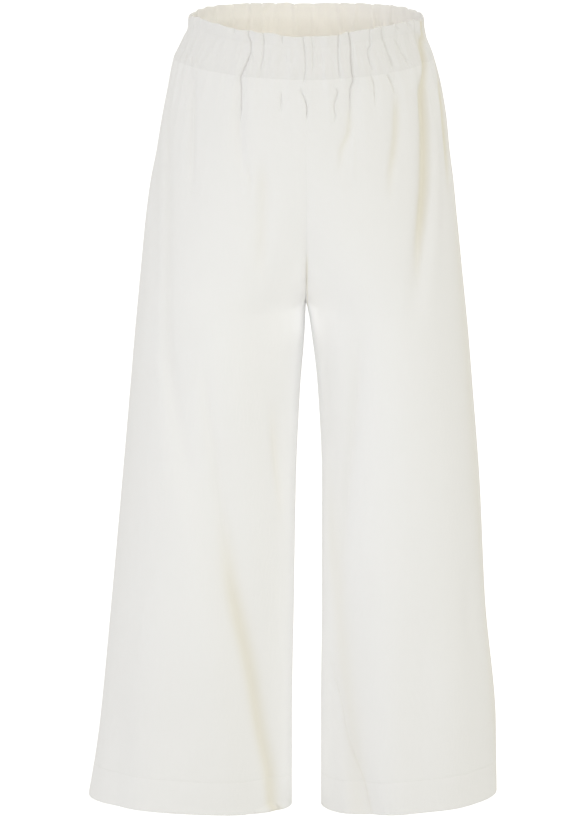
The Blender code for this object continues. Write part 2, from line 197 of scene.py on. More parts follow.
# One leg: which way it lies from the middle plane, the height of its hem at the middle of
# the front and back, and how much higher the hem hangs at the side seam.
Leg = namedtuple("Leg", "side hem hem_rise rings front_gathers back_gathers front_folds back_folds")
RIGHT = Leg(-1, -0.8685, 0.0055, RIGHT_LEG, FRONT_RIGHT_GATHERS, BACK_RIGHT_GATHERS,
            FRONT_RIGHT_FOLDS, BACK_RIGHT_FOLDS)
LEFT = Leg(1, -0.8663, 0.0075, LEFT_LEG, FRONT_LEFT_GATHERS, BACK_LEFT_GATHERS,
           FRONT_LEFT_FOLDS, BACK_LEFT_FOLDS)

# Cloth, seams and hems, in metres: the cloth's thickness, how far a seam's rolled edge reaches
# and how deep it lies, and the thickness of the hem and of the step at the top of its turn.
CLOTH = 0.0007
SEAM_ROLL = 0.0007
SEAM_DEEP = 0.00012
HEM_TURN = 0.040
HEM_WALL = 0.0018
HEM_STEP = 0.0012
BAND_STANDS_OUT = 0.0001
# The inner seam lies deeper near the fork. It starts to so far above it, and over such a length.
FORK_SEAM_DEEP = 0.0004
FORK_SEAM_STARTS = 0.090
FORK_SEAM_GROWS = 0.070
# Cloth turned in at the seams: how wide, its least width, the length over which it runs out, how
# far above the top of the hem's turn it ends, and the two rows turned in under the waistband.
SEAM_ALLOWANCE = 0.005
LEAST_TURNED_IN = 0.0003
ALLOWANCE_RUNS_OUT = 0.012
ALLOWANCE_ENDS = 0.002
WAIST_FINS = (0.0040, 0.0015)
# The folds and gathers of the solids keep these shares of their depth. The creases add the rest.
FOLD_SHARE = 0.65
GATHER_SHARE = 0.5
# Closer to the middle than this, the cloth above the fork is lifted less and less.
NEAR_MIDDLE = 0.008

# The grid of every panel. Each stretch of levels has its top, its bottom and its count of rows,
# and between the second and the third the rows draw closer together towards the fork.
FRONT_COLUMNS = 290
BACK_COLUMNS = 190
INNER_STEP = 3
FORK_STARTS = -0.245
LEVELS = [(WAIST_SEAM, -0.100, 50), (-0.100, FORK_STARTS, 40), (-0.300, -0.460, 30),
          (-0.460, -0.800, 47)]
FORK_LEVELS = 12
# Rows close to the top of the hem's turn, above and below it, and the last row above the hem's edge.
NEAR_HEM_TOP = (0.0040, 0.0030, 0.0018, 0.0010, 0.0004, -0.0002, -0.0010, -0.0018, -0.0026, -0.0038)
LAST_ROW = 0.0030
ROLL_STEPS = 4

# Stitches: how far those of the hem lie below the top of its turn, their pitch, length and
# thickness, and the groove that they draw into the hem.
STITCH_BELOW = 0.0018
STITCH_PITCH = 0.0026
STITCH_LENGTH = 0.0023
THREAD = 0.00042
GROOVE = 0.00020
GROOVE_WIDTH = 0.0014
GROOVE_THINS = 1.6

# Threads of the cloth: their pitch and rise, how often their thick spots come in a metre along
# and across them, and a factor and an amount added to it for their thickness and their dips.
THREAD_PITCH = 0.00055
THREAD_RISE = 0.00010
SLUBS = (90.0, 1400.0)
SLUB_RANGE = (0.9, 0.55)
THREAD_WAVE = (0.35, 0.65)
# Fine crinkles: how far they rise, and how often they come in a metre, across and down.
CRINKLE = 0.00035
CRINKLES = (260.0, 110.0)

# Colours of the cloth; of its waistband, painted darker as shade over the elastic; the painted warm shade of
# deep folds and of the outer side of the left leg; the painted shade between the threads; and the stitches.
CLOTH_COLOUR = (0.890, 0.880, 0.868)
CLOTH_COLOUR_WORN = (0.878, 0.866, 0.852)
# The waistband's colours are the cloth's, painted darker as shade over the elastic.
BAND_SHADED_COLOUR = (0.856, 0.844, 0.832)
BAND_SHADED_COLOUR_WORN = (0.844, 0.830, 0.815)
FOLD_SHADE_COLOUR = (0.938, 0.906, 0.800)
GAP_SHADE_COLOUR = (0.90, 0.88, 0.84)
THREAD_COLOUR = (0.83, 0.82, 0.79)

# Light: the soft light all round, the floor that sends it back up, and the small lamps' spread.
SKY_COLOUR = (1.0, 0.985, 0.918)
SKY_STRENGTH = 0.750
FLOOR_COLOUR = (0.80, 0.80, 0.79)
FLOOR_SHOWN = 0.5
FLOOR_REACH = 70.0
FLOOR_AT = -1.30
LAMP_SPREAD = 150.0
# Each broad lamp: name, the way its light goes, strength, angle and colour.
BROAD_LAMPS = [
    ("lamp_left", (0.90, 0.36, -0.20), 0.70, 50.0, (0.78, 0.84, 1.0)),
    ("lamp_right", (-0.74, 0.62, -0.50), 0.46, 40.0, (0.90, 0.94, 0.91)),
    ("lamp_front", (0.0, 0.95, -0.30), 0.11, 30.0, (0.84, 0.86, 1.0)),
    ("lamp_back", (-0.2, -0.95, -0.40), 0.56, 40.0, (0.84, 0.86, 1.0)),
]
# Each small lamp: name, its place, its width and height, the way it faces, power and colour.
SMALL_LAMPS = [
    ("thigh_lamp", (-0.06, -0.750, -0.400), (0.30, 0.30), (0, 1, 0), 0.34, (0.86, 0.92, 1.0)),
    ("hip_lamp", (0.0, -0.190, -0.265), (0.12, 0.12), (0, 1, 0), 0.0022, (0.95, 0.97, 1.0)),
    ("hip_lamp_behind", (0.0, 0.210, -0.265), (0.12, 0.12), (0, -1, 0), 0.0030, (0.95, 0.97, 1.0)),
    ("fork_lamp", (0.0, -0.110, -0.285), (0.008, 0.08), (0, 1, 0), 0.0009, (0.95, 0.97, 1.0)),
    ("left_fork_lamp", (0.0002, -0.055, -0.292), (0.050, 0.06), (1, 0, 0), 0.0009, (0.95, 0.97, 1.0)),
    ("right_fork_lamp", (-0.0002, -0.055, -0.292), (0.050, 0.06), (-1, 0, 0), 0.0009, (0.95, 0.97, 1.0)),
    ("left_leg_lamp", (0.0002, -0.020, -0.580), (0.07, 0.58), (1, 0, 0), 0.018, (0.9, 0.95, 1.0)),
    ("right_leg_lamp", (-0.0002, -0.020, -0.580), (0.07, 0.58), (-1, 0, 0), 0.018, (0.9, 0.95, 1.0)),
    ("waist_lamp", (-0.008, -0.045, -0.045), (0.16, 0.04), (0, 1, 0.15), 0.073, (1.0, 0.93, 0.75)),
]

# The camera, in metres, millimetres and degrees.
CAMERA_AT = (-0.01582, -12.0, 1.9156)
CAMERA_LENS = 476.7
CAMERA_TILT = 11.0

# Every panel: node, leg, whether it is a front, the cloth it is cut from and its area.
PANELS = [
    ("front_right", RIGHT, True, (0.36, 0.90), 0.245),
    ("front_left", LEFT, True, (0.36, 0.90), 0.240),
    ("back_right", RIGHT, False, (0.38, 0.90), 0.255),
    ("back_left", LEFT, False, (0.38, 0.90), 0.250),
]

# Rows of the waistband: share of the way down from its top edge, how far the cloth stands
# out there, how deep the gathers are and how thick the band is.
BandRow = namedtuple("BandRow", "down stands_out gathers wall")
BAND_ROWS = [
    BandRow(0.00, 0.0001, 1.10, 0.0016),
    BandRow(0.12, 0.0002, 1.00, 0.0016),
    BandRow(0.25, -0.0001, 0.95, 0.0015),
    BandRow(0.32, 0.0002, 0.90, 0.0022),
    BandRow(0.45, 0.0004, 0.85, 0.0026),
    BandRow(0.70, 0.0004, 0.85, 0.0026),
    BandRow(0.90, 0.0002, 0.95, 0.0022),
    BandRow(1.00, 0.0000, 1.00, 0.0018),
]
# How far the top edge lies above its plain curve, in millimetres, by the share of the half width
# from the middle out to the side: at the front and at the back of each leg's side.
TOP_LIFTS = {
    -1: ([(1, 1.5), (0.97, 8), (0.92, 9), (0.83, 7.8), (0.77, 7.5), (0.69, 6.2), (0.6, 4), (0.5, 4.3),
          (0.37, 3), (0.24, 1.8), (0.19, -0.4), (0, -0.4)],
         [(1, 1.5), (0.985, 0), (0.92, 0.3), (0.85, 1), (0.77, 0.2), (0.6, 0), (0, 0)]),
    1: ([(1, 1), (0.92, 6.4), (0.8, 6.8), (0.68, 6.6), (0.62, 6.8), (0.55, 5.4), (0.34, 2.9), (0.3, 0.6),
         (0.1, 0), (0, -0.4)],
        [(1, 1), (0.95, -0.6), (0.9, 0), (0, 0)]),
}
# Uneven waves of the waistband: how far they rise, how many cross a quarter of the waist, how
# many there are from its top to its seam, where their pattern starts, its seed, and the share of
# the quarter that they take to fade at its ends.
Waves = namedtuple("Waves", "rise across down start seed ends")
TOP_WAVES = Waves(0.0005, 17, 1, 0.5, 40, 0.05)
PLEATS = Waves(0.0009, 21, 1.2, 0.4, 60, 0.04)
RIPPLES = [Waves(0.00035, 34, 1.6, 0, 80, 0.03), Waves(0.00028, 80, 2.2, 0, 81, 0.03)]
RIPPLES_GROW = 0.08
# The creases cut into the top edge by this share of their depth at this height.
NOTCH_SHARE = 0.7
NOTCHES_AT = 0.022
# The frill's small wave, the row of stitches under it, and the band's quarter, rows and ends.
FRILL_WAVE = 0.0003
FRILL_WAVES_PER_PANEL = 9.5
STITCHED_AT = 0.25
BAND_QUARTER = 0.200
BAND_STEPS = 58
BAND_EDGE = 0.024
QUARTERS = [(LEFT, True), (LEFT, False), (RIGHT, False), (RIGHT, True)]

# Small rumples of the cloth: slow ones, quick ones and those near the waist, with how far they
# rise and how wide and long they are. They fade over this length below the waist and off a seam.
Rumple = namedtuple("Rumple", "rise width length")
RUMPLES = [Rumple(0.00055, 0.050, 0.160), Rumple(0.00022, 0.017, 0.045), Rumple(0.0009, 0.009, 0.060)]
WAIST_RUMPLES_END = 0.070
RUMPLES_OFF_SEAMS = 0.012
# Puckers of the centre seam: their pitch and its slow drift, how far they rise and reach to both
# sides, and how far above the fork and below the waist they are at their full height.
PUCKER_PITCH = 0.0105
PUCKER_DRIFT = 40
PUCKER_RISE = 0.00010
PUCKER_REACH = 0.0065
PUCKERS_GROW = 0.030
PUCKERS_FADE = 0.060


def ease(share):
    """Smooth step from 0 to 1."""
    share = np.clip(share, 0.0, 1.0)
    return share * share * (3 - 2 * share)


def curve_through(heights, values):
    """Function of height that passes smoothly through a table, highest row first."""
    heights, values = np.array(heights, float), np.array(values, float)
    steps = np.diff(values) / np.diff(heights)
    both = steps[:-1] + steps[1:]
    product = steps[:-1] * steps[1:]
    middle = np.where(product > 0, 2 * product / np.where(product > 0, both, 1.0), 0.0)
    tangents = np.concatenate([steps[:1], middle, steps[-1:]])

    def value_at(height):
        i = np.clip(np.searchsorted(-heights, -height, side="right") - 1, 0, len(heights) - 2)
        step = heights[i + 1] - heights[i]
        t = np.clip((height - heights[i]) / step, 0.0, 1.0)
        start = (1 + 2 * t) * (1 - t) ** 2 * values[i] + t * (1 - t) ** 2 * step * tangents[i]
        end = t * t * (3 - 2 * t) * values[i + 1] + t * t * (t - 1) * step * tangents[i + 1]
        return start + end

    return value_at


def leg_curves(leg):
    """The smooth curves of one leg's ring table, by column name."""
    heights = [ring.height for ring in leg.rings]
    names = ("outer", "inner", "front", "back")
    return {name: curve_through(heights, [getattr(ring, name) for ring in leg.rings]) for name in names}


CURVES = {leg.side: leg_curves(leg) for leg in (RIGHT, LEFT)}


def gather_depth(gathers, turn, height, quarter):
    """How far the waist gathers of one panel draw the cloth in."""
    drawn_in = 0.0
    below = np.maximum(0.0, WAIST_SEAM - height)
    for gather in gathers:
        away = abs(turn - gather.at) * quarter / (GATHER_WIDTH * (1 + GATHERS_WIDEN * below))
        trough = np.maximum(0.0, 1 - away * away) ** 2
        drawn_in = drawn_in + gather.depth * trough * ease(1 - below / gather.length)
    return drawn_in


def along_line(row, share):
    """How full a fold or a crease is at a share of its length: it rises at its top and then fades."""
    grows = ease(share / row.rise) if row.rise else 1.0
    return grows * (ease((1 - share) / row.fade) if row.fade else 1.0)


def fold_height(folds, x, height, across):
    """How far the long folds of one panel lift the cloth, or draw it in."""
    lifted = 0.0
    for fold in folds:
        share = (fold.top_z - height) / (fold.top_z - fold.low_z)
        inside = (share >= 0) & (share <= 1)
        line = fold.top_x + (fold.low_x - fold.top_x) * share + fold.bow * 4 * share * (1 - share)
        away = (x - line) / fold.width / np.maximum(NARROWEST, across)
        lifted = lifted + np.where(inside, fold.depth * np.exp(-away * away) * along_line(fold, share), 0.0)
    return lifted


# One crease as the elastic and wear leave it: half width and depth in millimetres (a ridge is
# above nought), whether it is a fine line, a soft trough or a trough with a steep left side,
# how much painted warm shade its colour takes, the share of its length that it takes to rise and
# to fade, and its line as (sideways, height) points in millimetres, highest first.
Crease = namedtuple("Crease", "width depth kind warm rise fade line")
LINE, SOFT, STEEP = 1, 2, 3

# A fine line is a narrow slit in a wider trough, with a low ridge beside it. The left side of a
# steep trough is narrower by a share. Folds and creases keep their width along the cloth as it
# turns to the sides, down to a narrowest share across, and a crease ends at so many half widths.
SLIT = 0.0008
LINE_SHARE = 0.66
LINE_RIDGE = 0.22
RIDGE_AWAY = 2.2 * SLIT
RIDGE_WIDTH = 1.1 * SLIT
STEEP_SHARE = 0.4
NARROWEST = 0.35
CREASE_ENDS = 6
SLOPE_STEP = 0.001

FRONT_CREASES = [Crease(*row) for row in [
    # The long crease under the elastic at the right, and the soft trough that it runs out into.
    (2, -2.5, LINE, 0, 0, 0.3, [(-65, 31), (-65, 23), (-62.5, 17), (-61.5, 8), (-65.5, -5), (-71.5, -18),
        (-74, -25), (-73.5, -42), (-74, -61), (-77, -85)]),
    (5, -2.2, SOFT, 0, 0.4, 0.4, [(-74, -36), (-75, -70), (-73, -104), (-70, -126), (-66, -150)]),
    (6, 0.7, SOFT, 0, 0.4, 0.5, [(-66, -20), (-65, -66)]),
    # Creases of the frill and the casing, from the right to the middle.
    (1.6, -1.3, LINE, 0, 0, 0.4, [(-81, 31), (-80.5, 22)]),
    (1.6, -0.7, LINE, 0, 0.3, 0.4, [(-60, 10), (-60, -14)]),
    (1.6, -1.7, LINE, 0, 0, 0.4, [(-49, 31), (-47.5, 15), (-48, 2), (-51, -14), (-50.5, -30)]),
    (1.4, -1.7, LINE, 0, 0, 0.6, [(-28, 26), (-26, 12)]),
    (1.4, -0.7, LINE, 0, 0.3, 0.3, [(-22.5, 4), (-22.5, -6)]),
    (1.6, -1.8, LINE, 0, 0, 0.2, [(-4, 24), (-1, -3), (-2.5, -25), (-5.5, -33)]),
    (1.6, -1.7, LINE, 0.1, 0.2, 0.3, [(-12, -34), (-4.5, -40), (-1, -48), (1, -56), (0, -72)]),
    (1.4, -1.2, LINE, 0, 0.3, 0.4, [(-6, -32), (-4.5, -41)]),
    (1.6, -1.7, LINE, 0, 0.3, 0.5, [(-28, -36), (-28.5, -64)]),
    (1.6, -1.4, LINE, 0, 0, 0.3, [(4.5, 26), (7.5, 8), (7, -21)]),
    (1.4, -0.8, LINE, 0, 0.3, 0.3, [(13, 5), (13, -9)]),
    (1.4, -0.8, LINE, 0, 0.3, 0.3, [(18, 10), (17.5, -13)]),
    (1.8, 0.6, SOFT, 0, 0.3, 0.3, [(20.5, -2), (20.5, -26)]),
    # Creases of the left front, from the middle to the side.
    (1.8, -2.1, LINE, 0, 0, 0.2, [(36.5, 26), (35.5, 2), (36.5, -14), (38, -27)]),
    (2, -2.1, LINE, 0.1, 0.2, 0.4, [(28, -29), (35, -38), (31, -54), (32.5, -66), (27, -79)]),
    (1.8, -2.9, LINE, 0.05, 0, 0.4, [(47.5, 29), (50, 13), (50.5, -5), (51.5, -18), (53, -26),
        (49.5, -37), (49.5, -53), (48, -82)]),
    (3.6, -1.8, SOFT, 0.4, 0.4, 0.5, [(49.5, -46), (48, -81), (39.5, -104), (36.5, -134)]),
    (3, 0.7, SOFT, 0, 0.3, 0.4, [(54, -70), (52, -140)]),
    (1.6, -1.8, LINE, 0, 0, 0.2, [(70.5, 32), (71.5, 12), (69, 6), (71.5, -8), (75, -19)]),
    (1.8, -2, LINE, 0.15, 0.2, 0.5, [(71.5, -19), (76, -34), (77.5, -60)]),
    (1.6, -2.2, LINE, 0.05, 0, 0.2, [(84, 39), (84.5, 23), (89, 8), (96, -10), (99, -21)]),
    (2, -2.1, LINE, 0.25, 0.2, 0.3, [(89, -19), (97, -33), (101.5, -47)]),
    (5, -2.4, SOFT, 0.6, 0.3, 0.5, [(98, -33), (102, -50), (101, -84), (98, -109), (94, -135), (93, -170)]),
    (1.6, -1.7, LINE, 0.1, 0.2, 0.3, [(97.5, 18), (107.5, -1), (112.5, -9), (117, -20)]),
    (1.6, -1.4, LINE, 0.1, 0, 0.5, [(98, 34), (106, 22)]),
    (1.6, -1.6, LINE, 0.15, 0, 0.5, [(108, 40), (117, 27), (120, 18)]),
    # The deep fold of the left hip, the hollow above it and the turn of the cloth beyond it, with painted
    # warm shade in them, and a band of painted warm shade down the outer side of the left leg.
    (6, -2.2, SOFT, 1, 0, 0.4, [(129, 40), (130, 26), (131, 14), (132, -4)]),
    (9, -6, STEEP, 1, 0.1, 0.35, [(119, 25), (128, 12), (133, -3), (136, -20), (137, -60), (138, -92),
        (137.5, -137), (135, -176), (131, -216), (128, -244), (126, -275)]),
    (6, -2.4, SOFT, 1, 0.1, 0.4, [(144, -4), (149, -30), (152, -60), (157, -110), (161, -175)]),
    (15, -0.2, SOFT, 0.34, 0.25, 0, [(160, -40), (171, -215), (187, -420), (197, -560), (209, -700),
        (222, -872)]),
    # The middle, just above the fork, and the fullness there.
    (1.6, -0.3, SOFT, 0.8, 0.4, 0, [(1.5, -215), (1.5, -287)]),
    (16, 5, SOFT, 0, 0.5, 0.5, [(0, -200), (0, -297)]),
    # The right hip.
    (4.6, -2.2, SOFT, 0.05, 0.1, 0.4, [(-128, -18), (-128, -76), (-128.5, -176)]),
    (4, 0.7, SOFT, 0, 0.3, 0.4, [(-134, -36), (-134, -76)]),
    (1.2, -1, LINE, 0.1, 0.3, 0.3, [(-134, -3), (-136, -16)]),
    (1.2, -1, LINE, 0.1, 0.3, 0.3, [(-128, -5), (-129, -17)]),
    (1.2, -0.9, LINE, 0.1, 0.3, 0.3, [(-122, -4), (-123, -15)]),
    (7, -2.4, SOFT, 0.22, 0.3, 0.4, [(-50, -100), (-48, -136), (-49, -190), (-52, -262)]),
    (2.2, -0.7, SOFT, 0.1, 0.4, 0.5, [(-66, -110), (-62, -160)]),
    # The legs.
    (9, -2.2, SOFT, 0.06, 0.2, 0.4, [(-152, -30), (-156, -90), (-157, -215), (-157, -330), (-150, -390),
        (-137, -460), (-127, -530)]),
    (7, -2.2, SOFT, 0.04, 0.3, 0.3, [(-114, -334), (-111, -384), (-106, -428), (-99, -472), (-92, -524),
        (-84, -590)]),
    (10.5, -3, SOFT, 0.8, 0.4, 0, [(-94, -500), (-84, -590), (-74, -640), (-60, -700), (-48, -770),
        (-36, -830), (-32, -872)]),
    (8, -2, SOFT, 0.3, 0.4, 0.5, [(-37, -380), (-34, -440), (-30, -500), (-26, -560)]),
    (7, -2, SOFT, 0.08, 0.3, 0.4, [(58, -290), (56, -350), (51, -395), (47, -440), (42, -480), (40, -520),
        (38, -600)]),
    (15, -1.8, SOFT, 0.24, 0.3, 0, [(26, -450), (29, -560), (38, -660), (48, -760), (58, -872)]),
    (2.5, -1.2, SOFT, 0.15, 0.3, 0, [(24, -668), (32, -725), (43, -787), (62, -832), (72, -872)]),
]]
BACK_CREASES = [Crease(*row) for row in [
    (1.8, -1.6, LINE, 0, 0, 0.3, [(-106, 33), (-104, 10), (-108, -24), (-112, -60)]),
    (1.6, -1.4, LINE, 0, 0, 0.3, [(-85, 36), (-84, 5), (-86, -30)]),
    (1.8, -1.8, LINE, 0, 0, 0.5, [(-64, 38), (-64, 8), (-60, -24), (-62, -60), (-66, -120)]),
    (1.8, -1.7, LINE, 0, 0, 0.3, [(-42, 38), (-50, 20), (-50, -2), (-46, -32)]),
    (1.6, -1.4, LINE, 0, 0, 0.3, [(-33, 38), (-36, 4), (-38, -40)]),
    (2, -1.8, LINE, 0, 0, 0.5, [(-15, 38), (-13, 20), (-13, 0), (-17, -22), (-16, -86)]),
    (1.8, -1.6, LINE, 0, 0, 0.3, [(4, 38), (9, 20), (9, 4), (8, -36)]),
    (2, -1.8, LINE, 0, 0, 0.5, [(36, 38), (39, 18), (39, 6), (42, -24), (40, -70), (44, -124)]),
    (1.6, -1.4, LINE, 0, 0, 0.3, [(57, 38), (56, 6), (58, -30)]),
    (1.8, -1.8, LINE, 0, 0, 0.4, [(74, 38), (78, 8), (80, -24), (78, -90)]),
    (1.6, -1.4, LINE, 0, 0, 0.3, [(96, 36), (96, 4), (100, -34)]),
    (1.6, -1.3, LINE, 0, 0, 0.3, [(116, 34), (117, 8), (122, -26)]),
    (5, -1.8, SOFT, 0.1, 0.3, 0.5, [(-64, -70), (-68, -130), (-66, -200)]),
    (5, -1.7, SOFT, 0.1, 0.3, 0.5, [(42, -60), (46, -130), (42, -230)]),
    (7, -2.2, SOFT, 0.15, 0.3, 0.4, [(-104, -40), (-112, -160), (-120, -270)]),
    (7, -2.4, SOFT, 0.2, 0.3, 0.4, [(92, -30), (104, -150), (116, -250)]),
    (8, -2.4, SOFT, 0.2, 0.2, 0.4, [(136, -10), (148, -70), (150, -150), (146, -250)]),
    (8, -2, SOFT, 0.15, 0.3, 0.4, [(-138, -20), (-150, -90), (-152, -180), (-148, -280)]),
    (9, -2.2, SOFT, 0.1, 0.3, 0.4, [(-56, -330), (-72, -430), (-92, -560)]),
    (10, -2.8, SOFT, 0.25, 0.4, 0, [(-142, -500), (-128, -640), (-120, -760), (-116, -872)]),
    (8, -2, SOFT, 0.1, 0.3, 0.5, [(52, -340), (70, -440), (84, -580)]),
    (9, -2.6, SOFT, 0.2, 0.4, 0, [(126, -560), (138, -650), (146, -760), (148, -872)]),
    (9, -2.2, SOFT, 0.15, 0.4, 0.3, [(-162, -330), (-172, -470), (-188, -620), (-200, -750)]),
    (9, -2.4, SOFT, 0.15, 0.4, 0.4, [(156, -320), (168, -450), (178, -600)]),
    # A band of painted warm shade down the outer side of the left leg, where it turns away.
    (15, -0.2, SOFT, 0.34, 0.25, 0, [(160, -40), (171, -215), (187, -420), (197, -560), (209, -700),
        (222, -872)]),
]]


def creased(creases, x, height, across):
    """How far the creases lift the cloth or draw it in, and how much painted warm shade its colour takes in
    them.
    """
    lifted, painted_shade_sum = np.zeros(np.shape(x)), np.zeros(np.shape(x))
    for crease in creases:
        line = [(a / 1000, b / 1000) for a, b in crease.line]
        top, low = line[0][1], line[-1][1]
        line_at = curve_through([b for _, b in line], [a for a, _ in line])
        share = (top - height) / (top - low)
        here = (share > 0 if crease.rise else share > -9) & (share < 1 if crease.fade else share < 9)
        slope = (line_at(height + SLOPE_STEP) - line_at(height - SLOPE_STEP)) / (2 * SLOPE_STEP)
        slant = np.cos(np.arctan(slope))
        right = (x - line_at(height)) * slant
        away = abs(right)
        widths = away / (crease.width / 1000) / np.maximum(NARROWEST, across)
        if crease.kind == STEEP:
            widths = np.where(right > 0, widths / STEEP_SHARE, widths)
        shape = np.exp(-widths * widths)
        if crease.kind == LINE:
            shape = LINE_SHARE * np.exp(-((away / SLIT) ** 2)) + (1 - LINE_SHARE) * np.exp(-widths)
            shape = shape - LINE_RIDGE * np.exp(-(((right - RIDGE_AWAY) / RIDGE_WIDTH) ** 2))
        shape = np.where(here & (widths < CREASE_ENDS), shape * along_line(crease, share), 0.0)
        lifted += crease.depth / 1000 * shape
        # Each crease adds its share of painted warm shade to the cloth's colour.
        painted_shade_sum += crease.warm * shape
    return lifted, np.minimum(painted_shade_sum, 1.0)


def rumple(u, v, seed):
    """Soft uneven height, from -1 to 1, on a grid of cells one unit wide."""
    angles = np.random.default_rng(seed).uniform(0, 2 * math.pi, (64, 64))
    column, row = np.floor(u).astype(int), np.floor(v).astype(int)
    a, b = u - column, v - row
    total = 0.0
    for i in (0, 1):
        for j in (0, 1):
            angle = angles[(column + i) % 64, (row + j) % 64]
            slope = np.cos(angle) * (a - i) + np.sin(angle) * (b - j)
            p, q = 1 - abs(a - i), 1 - abs(b - j)
            total = total + slope * p ** 3 * (p * (6 * p - 15) + 10) * q ** 3 * (q * (6 * q - 15) + 10)
    return total * 1.5


def off_ends(turn, share):
    """1 on a panel, falling to 0 over a share of its width at both its seams."""
    return ease(turn / share) * ease((1 - turn) / share)


def seam_height(facing):
    """Height of the waist seam. facing is 1 at centre front, 0 at the sides and -1 at centre back."""
    return WAIST_SEAM - SEAM_DIP_AT_FRONT * np.maximum(0.0, facing) ** 2


def top_height(leg, facing, sideways):
    """Height of the waistband's top edge. sideways is 0 at the middle and 1 at the sides."""
    front_lift, back_lift = TOP_LIFTS[leg.side]
    front = WAIST_TOP - TOP_DIP_AT_FRONT * facing + edge_curve(front_lift, sideways)
    swell = TOP_SWELL_AT_BACK * np.sqrt(np.maximum(0.0, -4 * facing * (1 + facing)))
    back = WAIST_TOP - TOP_RISE_AT_BACK * facing + swell + edge_curve(back_lift, sideways)
    return np.where(facing > 0, front, back)


def edge_curve(lifts, sideways):
    """Smooth lift of the top edge in metres, from a table of shares and millimetres."""
    return curve_through([share for share, _ in lifts], [lift / 1000 for _, lift in lifts])(sideways)


Place = namedtuple("Place", "x y normal_x normal_y facing sideways across quarter inner")


def oval(leg, front, turn, height):
    """Where a leg's plain oval lies, in the leg's own sideways direction."""
    curves = CURVES[leg.side]
    outer, inner = curves["outer"](height), curves["inner"](height)
    middle, half = (outer + inner) / 2, (outer - inner) / 2
    depth = curves["front" if front else "back"](height)
    reach = np.arccos(np.clip(-middle / half, -1.0, 1.0))
    angle = turn * reach
    across, along = half * np.sin(angle), depth * np.cos(angle)
    speed = np.hypot(across, along)
    return Place(middle + half * np.cos(angle), depth * np.sin(angle), along / speed, across / speed,
                 np.sin(angle), np.cos(angle), across / speed, (half + depth) / 2 * reach, inner)


def cloth_lift(leg, front, place, turn, height, gathers):
    """How far the cloth stands off its plain oval, and how much painted warm shade its creases take."""
    panel_gathers = leg.front_gathers if front else leg.back_gathers
    panel_folds = leg.front_folds if front else leg.back_folds
    lift = -GATHER_SHARE * gathers * gather_depth(panel_gathers, turn, height, place.quarter)
    folds = fold_height(panel_folds, place.x, height, place.across)
    lift = lift + FOLD_SHARE * folds * ease(place.facing / 0.3)
    creases = FRONT_CREASES if front else BACK_CREASES
    drawn, warmth = creased(creases, leg.side * place.x, height, place.across)
    return lift + drawn, warmth


def unevenness(leg, front, place, turn, height):
    """Small rumples of the cloth, none at the seams."""
    seed = 10 * (leg.side + 2) + front
    u = turn * place.quarter
    slow, quick, near_waist = (
        size.rise * rumple(u / size.width, height / size.length, seed + 100 * number)
        for number, size in enumerate(RUMPLES))
    near_waist = near_waist * ease(1 - (WAIST_SEAM - height) / WAIST_RUMPLES_END)
    return (slow + quick + near_waist) * off_ends(turn, RUMPLES_OFF_SEAMS / place.quarter)


def centre_seam(place, height):
    """Small puckers along the centre seam above the fork."""
    wave = np.sin(height * 2 * math.pi / PUCKER_PITCH + 3 * np.sin(height * PUCKER_DRIFT))
    above = ease((height - FORK) / PUCKERS_GROW) * ease((WAIST_SEAM - height) / PUCKERS_FADE)
    return above * PUCKER_RISE * np.exp(-((place.x / PUCKER_REACH) ** 2)) * wave


def deepest_near(lift):
    """The deepest lift of the cloth within a few rows and columns of each point."""
    low = lift.copy()
    for rows in range(-INNER_STEP, INNER_STEP + 1):
        moved = np.roll(lift, rows, 0)
        if rows > 0:
            moved[:rows] = lift[:rows]
        elif rows < 0:
            moved[rows:] = lift[rows:]
        low = np.minimum(low, moved)
    before = np.concatenate([low[:, :1], low[:, :-1]], 1)
    after = np.concatenate([low[:, 1:], low[:, -1:]], 1)
    return np.minimum(low, np.minimum(before, after))


Cloth = namedtuple("Cloth", "points inwards place lift warmth")


def cloth_place(leg, front, turn, height, gathers=1.0, out=0.0):
    """Where the cloth's outer side lies, the way inwards there, and its lift off the plain oval."""
    place = oval(leg, front, turn, height)
    lift, warmth = cloth_lift(leg, front, place, turn, height, gathers)
    lift = lift + out + unevenness(leg, front, place, turn, height) + centre_seam(place, height)
    near_middle = np.where(place.inner > 0, 1.0, np.minimum(1.0, place.x / NEAR_MIDDLE))
    sign = 1 if front else -1
    x = leg.side * (place.x + place.normal_x * lift * near_middle)
    y = -sign * (place.y + place.normal_y * lift)
    points = np.stack([x, y, height + 0 * x], -1)
    inwards = np.stack([-leg.side * place.normal_x, sign * place.normal_y, 0 * x], -1)
    return Cloth(points, inwards, place, lift * near_middle, warmth)


def hung_height(leg, front, turn, level):
    """Height at which a row of a panel hangs, with its dips at the waist and the hem."""
    place = oval(leg, front, turn, level)
    height = level + 0 * turn
    if front:
        dip = ease(1 - (WAIST_SEAM - level) / SEAM_DIP_ENDS)
        height = height + (seam_height(place.facing) - WAIST_SEAM) * dip
    swing = ease((FORK - level) / (FORK - leg.hem))
    height = height + leg.hem_rise * place.sideways * swing
    if front:
        height = height + HEM_RISE_AT_FRONT * place.facing ** 2 * swing
    return height


def link_piece(name, mesh, material):
    """Object of a finished mesh, at the origin."""
    mesh.materials.append(material)
    piece = bpy.data.objects.new(name, mesh)
    bpy.context.scene.collection.objects.link(piece)
    return piece


def quads(ids):
    """Faces of a grid of points."""
    return np.stack([ids[:-1, :-1], ids[1:, :-1], ids[1:, 1:], ids[:-1, 1:]], -1).reshape(-1, 4)


